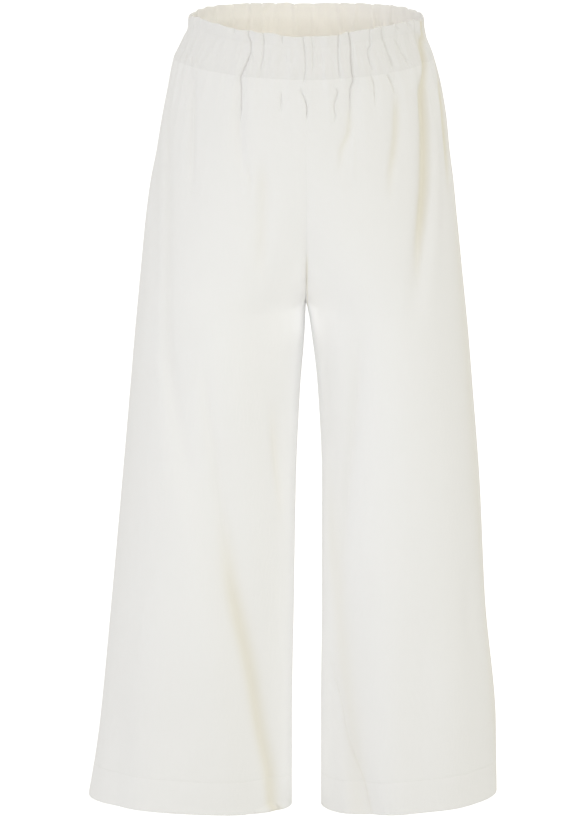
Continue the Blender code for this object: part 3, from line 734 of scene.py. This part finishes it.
def wall_mesh(name, outer, inner, uv, warmth, flip, closed):
    """Mesh of a wall from the points of both its sides, with its map in metres and how much painted
    warm shade each point takes. The inner side has fewer rows."""
    rows, columns = outer.shape[:2]
    ids = np.arange(rows * columns).reshape(rows, columns)
    back = ids[::INNER_STEP] + rows * columns
    faces = [quads(ids), quads(back)[:, ::-1]]
    faces += [quads(np.stack([back[0], ids[0]])), quads(np.stack([ids[-1], back[-1]]))]
    if not closed:
        first, last = ids[:, 0], ids[:, -1]
        for k in range(len(back) - 1):
            side = slice(k * INNER_STEP, (k + 1) * INNER_STEP + 1)
            faces.append(np.array([[back[k, 0], back[k + 1, 0], *first[side][::-1]]]))
            faces.append(np.array([[*last[side], back[k + 1, -1], back[k, -1]]]))
    faces = [group[:, ::-1] if flip else group for group in faces]
    sizes = np.concatenate([np.full(len(group), group.shape[1]) for group in faces])
    corners = np.concatenate([group.ravel() for group in faces])
    points = np.concatenate([outer.reshape(-1, 3), inner.reshape(-1, 3)])
    mesh = bpy.data.meshes.new(name)
    mesh.vertices.add(len(points))
    mesh.vertices.foreach_set("co", points.ravel().astype(np.float32))
    mesh.loops.add(len(corners))
    mesh.loops.foreach_set("vertex_index", corners.astype(np.int32))
    mesh.polygons.add(len(sizes))
    starts = np.concatenate([[0], np.cumsum(sizes)[:-1]])
    mesh.polygons.foreach_set("loop_start", starts.astype(np.int32))
    mesh.polygons.foreach_set("use_smooth", np.ones(len(sizes), bool))
    mesh.update(calc_edges=True)
    flat = np.concatenate([uv.reshape(-1, 2), uv.reshape(-1, 2)])
    mesh.uv_layers.new(name="cloth").data.foreach_set("uv", flat[corners].ravel().astype(np.float32))
    # How much painted warm shade each point takes, kept for the cloth's colour.
    twice = np.concatenate([warmth.ravel(), warmth.ravel()])
    mesh.attributes.new("warmth", "FLOAT", "POINT").data.foreach_set("value", twice.astype(np.float32))
    shape = bmesh.new()
    shape.from_mesh(mesh)
    bmesh.ops.remove_doubles(shape, verts=shape.verts, dist=3e-6)
    loose = [point for point in shape.verts if not point.link_faces]
    bmesh.ops.delete(shape, geom=loose, context="VERTS")
    shape.to_mesh(mesh)
    shape.free()
    return mesh


def roll(radius, deep):
    """A rolled edge, from its seam on: how far along the cloth, how deep, and its turn."""
    angles = [math.pi / 2 * k / ROLL_STEPS for k in range(ROLL_STEPS + 1)]
    return [(radius * (1 - math.cos(a)), deep * (1 - math.sin(a)), a) for a in angles]


def panel_levels(leg):
    """Heights of a panel's rows between its waist edge and its hem edge."""
    levels = []
    for top, low, count in LEVELS:
        levels += [top + (low - top) * k / count for k in range(count)]
        if low == FORK_STARTS:
            spread = low - FORK
            levels += [FORK + spread * (1 - k / FORK_LEVELS) ** 2 for k in range(FORK_LEVELS + 1)]
    hem_top = leg.hem + HEM_TURN
    above, *steps, below = NEAR_HEM_TOP
    last, low = LEVELS[-1][1], leg.hem + LAST_ROW
    levels += [last + (hem_top + above - last) * k / 8 for k in range(8)]
    levels += [hem_top + step for step in steps]
    levels += [hem_top + below + (low - hem_top - below) * k / 10 for k in range(11)]
    return [level for level in levels if level < WAIST_SEAM - 1.2 * SEAM_ROLL]


def hem_groove(above):
    """How far the hem's stitches draw the cloth in, by the height above the turn's edge."""
    return GROOVE * np.exp(-(((above + STITCH_BELOW) / GROOVE_WIDTH) ** 2))


def panel_rows(leg):
    """Rows of a panel: level, how deep its edge lies, the turn of the edge, and if it is the hem's."""
    edge, hem_edge = roll(SEAM_ROLL, SEAM_DEEP), roll(HEM_WALL / 2, HEM_WALL / 2)
    rows = [(WAIST_SEAM, SEAM_DEEP + fin, 0.0, 0) for fin in WAIST_FINS]
    rows += [(WAIST_SEAM - along, depth, a, 0) for along, depth, a in edge]
    rows += [(level, 0.0, math.pi / 2, 0) for level in panel_levels(leg)]
    rows += [(leg.hem + along, depth, a, 1) for along, depth, a in hem_edge[::-1]]
    return [np.array(column)[:, None] for column in zip(*rows)]


def panel_columns(quarter, count):
    """Columns of a panel: turn by row, depth, the edge's turn, and -1 at the side seam or 1 at
    the inner one."""
    fin = SEAM_DEEP + SEAM_ALLOWANCE
    side = [(0.0, fin, 0.0), (0.0, (fin + SEAM_DEEP) / 2, 0.0)] + roll(SEAM_ROLL, SEAM_DEEP)
    along, depth, angle = (np.array(column)[None, :] for column in zip(*side))
    regular = np.arange(1, count)[None, :] / count
    edge_turn, first = along / quarter, SEAM_ROLL / quarter
    turn = np.concatenate([edge_turn, first + (1 - 2 * first) * regular, 1 - edge_turn[:, ::-1]], 1)
    blank = 0 * regular
    depth = np.concatenate([depth, blank, depth[:, ::-1]], 1)
    where = np.concatenate([0 * angle - 1, blank, 0 * angle + 1], 1)
    angle = np.concatenate([angle, blank + math.pi / 2, angle[:, ::-1]], 1)
    return turn, depth, angle, where


def edge_ways(leg, sign, points, inwards, where, above_fork):
    """The ways in through the wall and on into the panel at its seams."""
    at_side, at_inner = where < 0, where > 0
    slope = np.gradient(points[:, -1], axis=0)
    through = np.stack([0 * slope[:, 0], -sign * slope[:, 2], sign * slope[:, 1]], -1)
    through /= np.linalg.norm(through, axis=-1, keepdims=True) + 1e-12
    into = np.where(at_side[..., None], np.array([-leg.side, 0.0, 0.0]), inwards)
    into = np.where((at_inner & ~above_fork)[..., None], np.array([leg.side, 0.0, 0.0]), into)
    into = np.where((at_inner & above_fork)[..., None], through[:, None, :], into)
    onwards = np.where((at_side | at_inner)[..., None], np.array([0.0, -sign, 0.0]), 0.0 * inwards)
    onwards = np.where((at_inner & above_fork)[..., None], np.array([leg.side, 0.0, 0.0]), onwards)
    return into, onwards


def seam_depth(depth, where, level, hem_top):
    """How deep each column of a panel lies in its seams. The cloth turned in runs out above the
    hem and at the fork, and the inner seam lies deeper from just above the fork down."""
    at_fork = np.exp(-(((level - FORK) / ALLOWANCE_RUNS_OUT) ** 2))
    allowance = ease((level - hem_top - ALLOWANCE_ENDS) / ALLOWANCE_RUNS_OUT) * (1 - at_fork)
    below_fork = ease((FORK + FORK_SEAM_STARTS - level) / FORK_SEAM_GROWS) * (where > 0)
    deep = SEAM_DEEP + (FORK_SEAM_DEEP - SEAM_DEEP) * below_fork
    turned_in = deep + LEAST_TURNED_IN + (depth - SEAM_DEEP) * allowance
    return np.where(depth > SEAM_DEEP, turned_in, depth * deep / SEAM_DEEP)


def panel_piece(name, leg, front, material):
    """One leg panel: rolled seam edges with their allowances inside, and a turned-up hem."""
    sign = 1 if front else -1
    level, row_depth, row_angle, at_hem = panel_rows(leg)
    at_hem = at_hem > 0
    quarter = oval(leg, front, 0.5 + 0 * level, level).quarter
    turn, depth, angle, where = panel_columns(quarter, FRONT_COLUMNS if front else BACK_COLUMNS)
    hem_top = leg.hem + HEM_TURN
    depth = seam_depth(depth, where, level, hem_top)

    level = level + 0 * turn
    height = hung_height(leg, front, turn, level)
    points, inwards, place, lift, warmth = cloth_place(leg, front, turn, height)
    groove = hem_groove(level - hem_top)
    points += inwards * groove[..., None]
    into, onwards = edge_ways(leg, sign, points, inwards, where + 0 * turn, level > FORK)
    outer = points + into * np.maximum(depth, row_depth)[..., None]

    inner_way = inwards * (np.sin(angle) * np.where(at_hem, 1.0, np.sin(row_angle)))[..., None]
    inner_way += onwards * np.cos(angle)[..., None]
    inner_way[..., 2] -= np.where(at_hem, 0.0, np.cos(row_angle)) + 0 * turn
    inner_way /= np.linalg.norm(inner_way, axis=-1, keepdims=True)
    wall = CLOTH + (HEM_WALL - CLOTH) * ease((hem_top + HEM_STEP / 2 - level) / HEM_STEP)
    wall = wall - GROOVE_THINS * groove
    near_edge = np.minimum(turn, 1 - turn) * place.quarter < 2 * SEAM_ROLL
    wall = np.where(near_edge, np.minimum(wall, SEAM_ROLL * 0.9), wall)
    wall = wall * np.where(at_hem, np.sin(row_angle), 1.0)
    plain = (where == 0) & ~at_hem & (row_angle > 1.5)
    wall = wall + np.where(plain, lift - deepest_near(lift), 0.0)
    inner = outer + inner_way * wall[..., None]

    u = turn * place.quarter + where * np.where(where == 0, 0.0, depth)
    uv = np.stack([u, height - np.where(at_hem, row_depth, 0.0)], -1)
    mesh = wall_mesh(name, outer, inner, uv, warmth, leg.side * sign > 0, False)
    return link_piece(name, mesh, material)


def band_value(column, down):
    """One column of the waistband's table, smoothly, at a share of the way down."""
    return curve_through([-row.down for row in BAND_ROWS], [getattr(row, column) for row in BAND_ROWS])(-down)


def band_edges(leg, front, turn):
    """Heights of the waistband's top edge and of its seam, by turn."""
    place = oval(leg, front, turn, WAIST_TOP + 0 * turn)
    facing = place.facing if front else -place.facing
    uneven = FRILL_WAVE * np.cos(turn * 2 * math.pi * FRILL_WAVES_PER_PANEL)
    uneven = uneven + waves(TOP_WAVES, leg, front, turn, 0 * turn)
    creases = FRONT_CREASES if front else BACK_CREASES
    notches = NOTCH_SHARE * creased(creases, leg.side * place.x, NOTCHES_AT + 0 * turn, place.across)[0]
    return top_height(leg, facing, place.sideways) - uneven + notches, seam_height(facing)


def waves(kind, leg, front, turn, down):
    """Uneven waves of one kind on one quarter of the waistband, none at its ends."""
    seed = kind.seed + 10 * leg.side + front
    wave = rumple(turn * kind.across, down * kind.down + kind.start, seed)
    return kind.rise * wave * off_ends(turn, kind.ends)


def frill(leg, front, turn, down):
    """How far the frill's small pleats stand out above the stitches."""
    return waves(PLEATS, leg, front, turn, down) * ease((STITCHED_AT - down) / STITCHED_AT)


def elastic_ripples(leg, front, turn, down):
    """Narrow ripples that the drawn-up elastic leaves in the casing."""
    inside = ease((down - STITCHED_AT) / RIPPLES_GROW) * ease((1 - down) / RIPPLES_GROW)
    return sum(waves(kind, leg, front, turn, down) for kind in RIPPLES) * inside


def band_side(leg, front, turn, row, inside):
    """Points of one side of the waistband's cloth. row is (share down, offset, depth of the edge)."""
    down, offset, depth = row
    top, bottom = band_edges(leg, front, turn)
    height = top + (bottom - top) * down + offset
    out = band_value("stands_out", down) + BAND_STANDS_OUT
    out = out + frill(leg, front, turn, down) + elastic_ripples(leg, front, turn, down)
    cloth = cloth_place(leg, front, turn, height, band_value("gathers", down), out)
    through = depth + 0 * cloth.lift
    if inside:
        through = band_value("wall", down) - depth + cloth.lift - deepest_near(cloth.lift)
    return cloth.points + cloth.inwards * through[..., None], cloth.warmth


def band_rows():
    """Rows of the waistband: share of the way down, height added to it, and depth of its
    rounded edge."""
    fold = BAND_ROWS[0].wall / 2
    top = [(0.0, -along, depth) for along, depth, _ in roll(fold, fold)]
    low = [(1.0, along, depth) for along, depth, _ in roll(SEAM_ROLL, SEAM_DEEP)]
    middle = [(BAND_EDGE + (1 - 2 * BAND_EDGE) * k / BAND_STEPS, 0.0, 0.0) for k in range(BAND_STEPS + 1)]
    return [np.array(column)[:, None] for column in zip(*(top + middle + low[::-1]))]


def round_the_waist(leg, front):
    """Turns of one quarter of the waist, in order round the body from the centre front."""
    count = FRONT_COLUMNS if front else BACK_COLUMNS
    turn = np.arange(count)[None, :] / count
    return 1 - turn if (leg.side > 0) == front else turn


def waistband_piece(material):
    """The folded strip over the elastic, with the frill standing above its stitches."""
    rows = band_rows()
    outer, inner, warmth = [], [], []
    for leg, front in QUARTERS:
        turn = round_the_waist(leg, front)
        points, warm = band_side(leg, front, turn, rows, False)
        outer.append(points)
        warmth.append(warm)
        inner.append(band_side(leg, front, turn, rows, True)[0])
    outer, inner, warmth = (np.concatenate(parts + [parts[0][:, :1]], 1) for parts in (outer, inner, warmth))
    counts = [FRONT_COLUMNS if front else BACK_COLUMNS for _, front in QUARTERS]
    around = np.concatenate([k + np.arange(count) / count for k, count in enumerate(counts)] + [[4.0]])
    around = BAND_QUARTER * around[None, :] + 0 * outer[..., 0]
    uv = np.stack([around, outer[..., 2]], -1)
    mesh = wall_mesh("waistband_cloth", outer, inner, uv, warmth, False, True)
    return link_piece("waistband_cloth", mesh, material)


def add_nodes(tree, *kinds):
    """New nodes of a tree, one for each kind."""
    return [tree.nodes.new(kind) for kind in kinds]


def wire(tree, *links):
    """Links of a tree, each from an output to a node's named input."""
    for output, node, name in links:
        tree.links.new(output, node.inputs[name])


def give(node, values):
    """Sets inputs of a node by name. A colour of three numbers is made opaque."""
    for name, value in values.items():
        node.inputs[name].default_value = (*value, 1.0) if type(value) is tuple else value


def math_node(tree, operation, *values):
    """Output of a new math node on sockets or numbers."""
    node = tree.nodes.new("ShaderNodeMath")
    node.operation = operation
    for place, value in enumerate(values):
        if isinstance(value, (int, float)):
            node.inputs[place].default_value = value
        else:
            wire(tree, (value, node, place))
    return node.outputs[0]


def weave_group():
    """Plain weave of fine uneven threads: a normal, and the threads' height for shading."""
    tree = bpy.data.node_groups.new("plain_weave", "ShaderNodeTree")
    for name, kind in (("Normal", "NodeSocketVector"), ("Shade", "NodeSocketFloat")):
        tree.interface.new_socket(name, in_out="OUTPUT", socket_type=kind)
    place, split, bump, out = add_nodes(
        tree, "ShaderNodeUVMap", "ShaderNodeSeparateXYZ", "ShaderNodeBump", "NodeGroupOutput")
    place.uv_map = "cloth"
    spot = place.outputs["UV"]
    wire(tree, (spot, split, 0))
    slubs = noise(tree, spot, (*SLUBS, 1.0), 1.0, 2.0)
    slubs_across = noise(tree, spot, (*SLUBS[::-1], 1.0), 1.0, 2.0)
    along, down = (math_node(tree, "DIVIDE", split.outputs[axis], THREAD_PITCH) for axis in "XY")
    warp, weft = thread(tree, along, down, 0.0), thread(tree, down, along, 1.0)
    warp = math_node(tree, "MULTIPLY", warp, math_node(tree, "MULTIPLY_ADD", slubs_across, *SLUB_RANGE))
    weft = math_node(tree, "MULTIPLY", weft, math_node(tree, "MULTIPLY_ADD", slubs, *SLUB_RANGE))
    height = math_node(tree, "MAXIMUM", warp, weft)
    crinkle = noise(tree, spot, (*CRINKLES, 1.0), 1.0, 4.0)
    woven = math_node(tree, "MULTIPLY", height, THREAD_RISE)
    raised = math_node(tree, "MULTIPLY_ADD", crinkle, CRINKLE, woven)
    give(bump, {"Strength": 0.8, "Distance": 1.0})
    wire(tree, (raised, bump, "Height"), (bump.outputs["Normal"], out, "Normal"), (height, out, "Shade"))
    return tree


def thread(tree, across, along, start):
    """Height of one set of threads that pass over and under the other."""
    index = math_node(tree, "FLOOR", across)
    inside = math_node(tree, "MULTIPLY_ADD", math_node(tree, "FRACT", across), 2.0, -1.0)
    round_top = math_node(tree, "SUBTRACT", 1.0, math_node(tree, "MULTIPLY", inside, inside))
    phase = math_node(tree, "ADD", math_node(tree, "ADD", along, index), start)
    wave = math_node(tree, "COSINE", math_node(tree, "MULTIPLY", phase, math.pi))
    over = math_node(tree, "MULTIPLY_ADD", wave, *THREAD_WAVE)
    return math_node(tree, "MULTIPLY", round_top, over)


def noise(tree, place, scale, size, detail):
    """Noise on stretched coordinates."""
    mapping, texture = add_nodes(tree, "ShaderNodeMapping", "ShaderNodeTexNoise")
    mapping.inputs["Scale"].default_value = scale
    give(texture, {"Scale": size, "Detail": detail})
    wire(tree, (place, mapping, "Vector"), (mapping.outputs[0], texture, "Vector"))
    return texture.outputs["Fac"]


def new_finish(name):
    """New material, with its tree and its shader."""
    material = bpy.data.materials.new(name)
    material.use_nodes = True
    return material, material.node_tree, material.node_tree.nodes["Principled BSDF"]


def cloth_finish(name, colour, worn):
    """Matt off-white woven cloth, with painted shade between its threads and painted warm shade in its folds.
    """
    material, tree, shader = new_finish(name)
    weave, place, tone, shaded, folds, warmth, ramp = add_nodes(
        tree, "ShaderNodeGroup", "ShaderNodeTexCoord", "ShaderNodeMix", "ShaderNodeMix", "ShaderNodeMix",
        "ShaderNodeAttribute", "ShaderNodeMapRange")
    weave.node_tree = bpy.data.node_groups.get("plain_weave") or weave_group()
    warmth.attribute_name = "warmth"
    patches = noise(tree, place.outputs["Object"], (1.0, 1.0, 1.0), 7.0, 3.0)
    tone.data_type = shaded.data_type = folds.data_type = "RGBA"
    shaded.blend_type = folds.blend_type = "MULTIPLY"
    give(tone, {"A": colour, "B": worn})
    # Painted shade: the colour darkens where the threads lie low, between them.
    give(shaded, {"B": GAP_SHADE_COLOUR})
    # Painted warm shade in the folds and on the left leg's outer side, mixed in by the stored attribute.
    give(folds, {"B": FOLD_SHADE_COLOUR})
    give(ramp, {"From Min": 0.1, "From Max": 0.8, "To Min": 0.12, "To Max": 0.0})
    wire(tree, (patches, tone, "Factor"), (tone.outputs["Result"], shaded, "A"),
         (weave.outputs["Shade"], ramp, "Value"), (ramp.outputs[0], shaded, "Factor"),
         (shaded.outputs["Result"], folds, "A"), (warmth.outputs["Fac"], folds, "Factor"),
         (folds.outputs["Result"], shader, "Base Color"), (weave.outputs["Normal"], shader, "Normal"))
    give(shader, {"Roughness": 0.9, "Specular IOR Level": 0.2, "Sheen Weight": 0.08, "Sheen Roughness": 0.6})
    return material


def thread_finish():
    """Spun sewing thread, twisted finely, a touch darker than the cloth."""
    material, tree, shader = new_finish("sewing_thread")
    place, bump = add_nodes(tree, "ShaderNodeTexCoord", "ShaderNodeBump")
    twist = noise(tree, place.outputs["Object"], (1.0, 1.0, 1.0), 9000.0, 1.0)
    give(bump, {"Distance": 0.00008})
    wire(tree, (twist, bump, "Height"), (bump.outputs["Normal"], shader, "Normal"))
    give(shader, {"Base Color": THREAD_COLOUR, "Roughness": 0.6})
    return material


def stitch_tree(material):
    """Tree that lays one stitch after another along a line."""
    tree = bpy.data.node_groups.new("stitches", "GeometryNodeTree")
    tree.interface.new_socket("Line", in_out="INPUT", socket_type="NodeSocketGeometry")
    for name in ("Pitch", "Stitch length", "Thread"):
        tree.interface.new_socket(name, in_out="INPUT", socket_type="NodeSocketFloat")
    tree.interface.new_socket("Geometry", in_out="OUTPUT", socket_type="NodeSocketGeometry")
    given, line, points, turn, stitch, size = add_nodes(
        tree, "NodeGroupInput", "GeometryNodeMeshToCurve", "GeometryNodeCurveToPoints",
        "FunctionNodeAlignRotationToVector", "GeometryNodeMeshUVSphere", "ShaderNodeCombineXYZ")
    place, solid, finish, smooth, out = add_nodes(
        tree, "GeometryNodeInstanceOnPoints", "GeometryNodeRealizeInstances", "GeometryNodeSetMaterial",
        "GeometryNodeSetShadeSmooth", "NodeGroupOutput")
    points.mode = "LENGTH"
    turn.axis = "X"
    give(stitch, {"Segments": 6, "Rings": 4, "Radius": 0.5})
    give(finish, {"Material": material})
    wire(tree, (given.outputs["Line"], line, "Mesh"), (line.outputs["Curve"], points, "Curve"),
         (given.outputs["Pitch"], points, "Length"), (points.outputs["Tangent"], turn, "Vector"),
         (given.outputs["Stitch length"], size, "X"), (given.outputs["Thread"], size, "Y"),
         (given.outputs["Thread"], size, "Z"), (points.outputs["Points"], place, "Points"),
         (stitch.outputs["Mesh"], place, "Instance"), (turn.outputs["Rotation"], place, "Rotation"),
         (size.outputs["Vector"], place, "Scale"), (place.outputs["Instances"], solid, "Geometry"),
         (solid.outputs["Geometry"], smooth, "Geometry"), (smooth.outputs["Geometry"], finish, "Geometry"),
         (finish.outputs["Geometry"], out, "Geometry"))
    return tree


def stitch_piece(name, loops, tree, material):
    """Rows of stitches along closed lines of points."""
    points, edges = [], []
    for loop in loops:
        start, count = len(points), len(loop)
        points += [tuple(point) for point in loop]
        edges += [(start + k, start + (k + 1) % count) for k in range(count)]
    mesh = bpy.data.meshes.new(name + "_line")
    mesh.from_pydata(points, edges, [])
    line = bpy.data.objects.new(name + "_line", mesh)
    bpy.context.scene.collection.objects.link(line)
    sewn = line.modifiers.new("stitches", "NODES")
    sewn.node_group = tree
    sizes = {"Pitch": STITCH_PITCH, "Stitch length": STITCH_LENGTH, "Thread": THREAD}
    for item in tree.interface.items_tree:
        if item.item_type == "SOCKET" and item.in_out == "INPUT" and item.name in sizes:
            sewn[item.identifier] = sizes[item.name]
    seen = line.evaluated_get(bpy.context.evaluated_depsgraph_get())
    stitches = bpy.data.meshes.new_from_object(seen)
    bpy.data.objects.remove(line)
    stitches.name = name
    stitches.materials.clear()
    return link_piece(name, stitches, material)


def hem_line(leg, depth):
    """Line of the hem's stitches round one leg, at a depth in the cloth."""
    halves = []
    for front in (True, False):
        turn = np.linspace(0.0, 1.0, 200)[None, :]
        turn = turn if front else 1 - turn
        level = leg.hem + HEM_TURN - STITCH_BELOW + 0 * turn
        height = hung_height(leg, front, turn, level)
        cloth = cloth_place(leg, front, turn, height)
        halves.append((cloth.points + cloth.inwards * depth)[0, :-1])
    return np.concatenate(halves)


def band_line(inside):
    """Line of the stitches under the frill, round the waist."""
    halves = []
    for leg, front in QUARTERS:
        turn = round_the_waist(leg, front)
        row = (np.full((1, 1), STITCHED_AT), 0.0, 0.0)
        halves.append(band_side(leg, front, turn, row, inside)[0][0])
    return np.concatenate(halves)


def make_floor():
    """Wide pale floor under the garment. The camera sees it as plain white."""
    mesh = bpy.data.meshes.new("floor")
    corners = [(x * FLOOR_REACH, y * FLOOR_REACH, FLOOR_AT) for x, y in ((-1, -1), (1, -1), (1, 1), (-1, 1))]
    mesh.from_pydata(corners, [], [(0, 1, 2, 3)])
    pale, tree, shader = new_finish("pale_floor")
    give(shader, {"Base Color": FLOOR_COLOUR, "Roughness": 1.0, "Specular IOR Level": 0.0,
                  "Emission Color": (1.0, 1.0, 1.0)})
    seen, = add_nodes(tree, "ShaderNodeLightPath")
    shown = math_node(tree, "MULTIPLY", seen.outputs["Is Camera Ray"], FLOOR_SHOWN)
    wire(tree, (shown, shader, "Emission Strength"))
    link_piece("floor", mesh, pale)


def make_sky():
    """Even soft light all round. The camera sees it as plain white."""
    world = bpy.data.worlds.new("soft_white")
    world.use_nodes = True
    tree = world.node_tree
    sky = tree.nodes["Background"]
    seen, colour = add_nodes(tree, "ShaderNodeLightPath", "ShaderNodeMix")
    in_view = seen.outputs["Is Camera Ray"]
    colour.data_type = "RGBA"
    give(colour, {"A": SKY_COLOUR, "B": (1.0, 1.0, 1.0)})
    strength = math_node(tree, "MULTIPLY_ADD", in_view, 1.0 - SKY_STRENGTH, SKY_STRENGTH)
    wire(tree, (in_view, colour, "Factor"), (colour.outputs["Result"], sky, "Color"),
         (strength, sky, "Strength"))
    bpy.context.scene.world = world


def add_lamp(name, kind, power, colour, towards):
    """New lamp whose light goes the given way, hidden from the camera."""
    lamp = bpy.data.lights.new(name, kind)
    lamp.energy = power
    lamp.color = colour
    lit = bpy.data.objects.new(name, lamp)
    lit.rotation_euler = Vector(towards).to_track_quat("-Z", "Y").to_euler()
    lit.visible_camera = False
    bpy.context.scene.collection.objects.link(lit)
    return lit


def add_lamps():
    """The broad lamps round the garment, and the small ones before its hollows and between its legs."""
    for name, towards, strength, angle, colour in BROAD_LAMPS:
        add_lamp(name, "SUN", strength, colour, towards).data.angle = math.radians(angle)
    for name, place, size, towards, power, colour in SMALL_LAMPS:
        lit = add_lamp(name, "AREA", power, colour, towards)
        lit.location = place
        lit.data.shape = "RECTANGLE"
        lit.data.size, lit.data.size_y = size
        lit.data.spread = math.radians(LAMP_SPREAD)


def add_camera():
    """Camera in front of the garment and a little above it."""
    lens = bpy.data.cameras.new("camera")
    lens.sensor_width = 36.0
    lens.lens = CAMERA_LENS
    lens.clip_end = 400.0
    camera = bpy.data.objects.new("camera", lens)
    camera.location = CAMERA_AT
    down = math.radians(CAMERA_TILT)
    camera.rotation_euler = (math.pi / 2 - down, 0.0, 0.0)
    bpy.context.scene.collection.objects.link(camera)
    bpy.context.scene.camera = camera


def declare(piece, node, stitches):
    """Attaches a piece and its stitches to the root, and hides the imported part that it stands for."""
    for part in [piece] + stitches:
        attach(part, "root")
    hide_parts(node)


def main():
    """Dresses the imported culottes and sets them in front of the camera."""
    cloth = cloth_finish("off_white_weave", CLOTH_COLOUR, CLOTH_COLOUR_WORN)
    # The waistband's copy of the cloth is painted darker, as shade over the elastic.
    band_shaded_cloth = cloth_finish("off_white_weave_shaded_over_elastic", BAND_SHADED_COLOUR, BAND_SHADED_COLOUR_WORN)
    thread_look = thread_finish()
    tree = stitch_tree(thread_look)
    band = waistband_piece(band_shaded_cloth)
    band_stitches = stitch_piece("band_stitches", [band_line(False), band_line(True)], tree, thread_look)
    declare(band, "waistband", [band_stitches])
    pulled_in = hem_groove(-STITCH_BELOW)
    for name, leg, front, cut, area in PANELS:
        piece = panel_piece(name + "_cloth", leg, front, cloth)
        stitches = []
        if front:
            loops = [hem_line(leg, depth) for depth in (pulled_in, HEM_WALL - 0.6 * pulled_in)]
            stitches.append(stitch_piece(name + "_hem_stitches", loops, tree, thread_look))
        declare(piece, name, stitches)
    make_floor()
    make_sky()
    add_lamps()
    add_camera()
    bpy.context.scene.view_settings.view_transform = "Standard"


main()
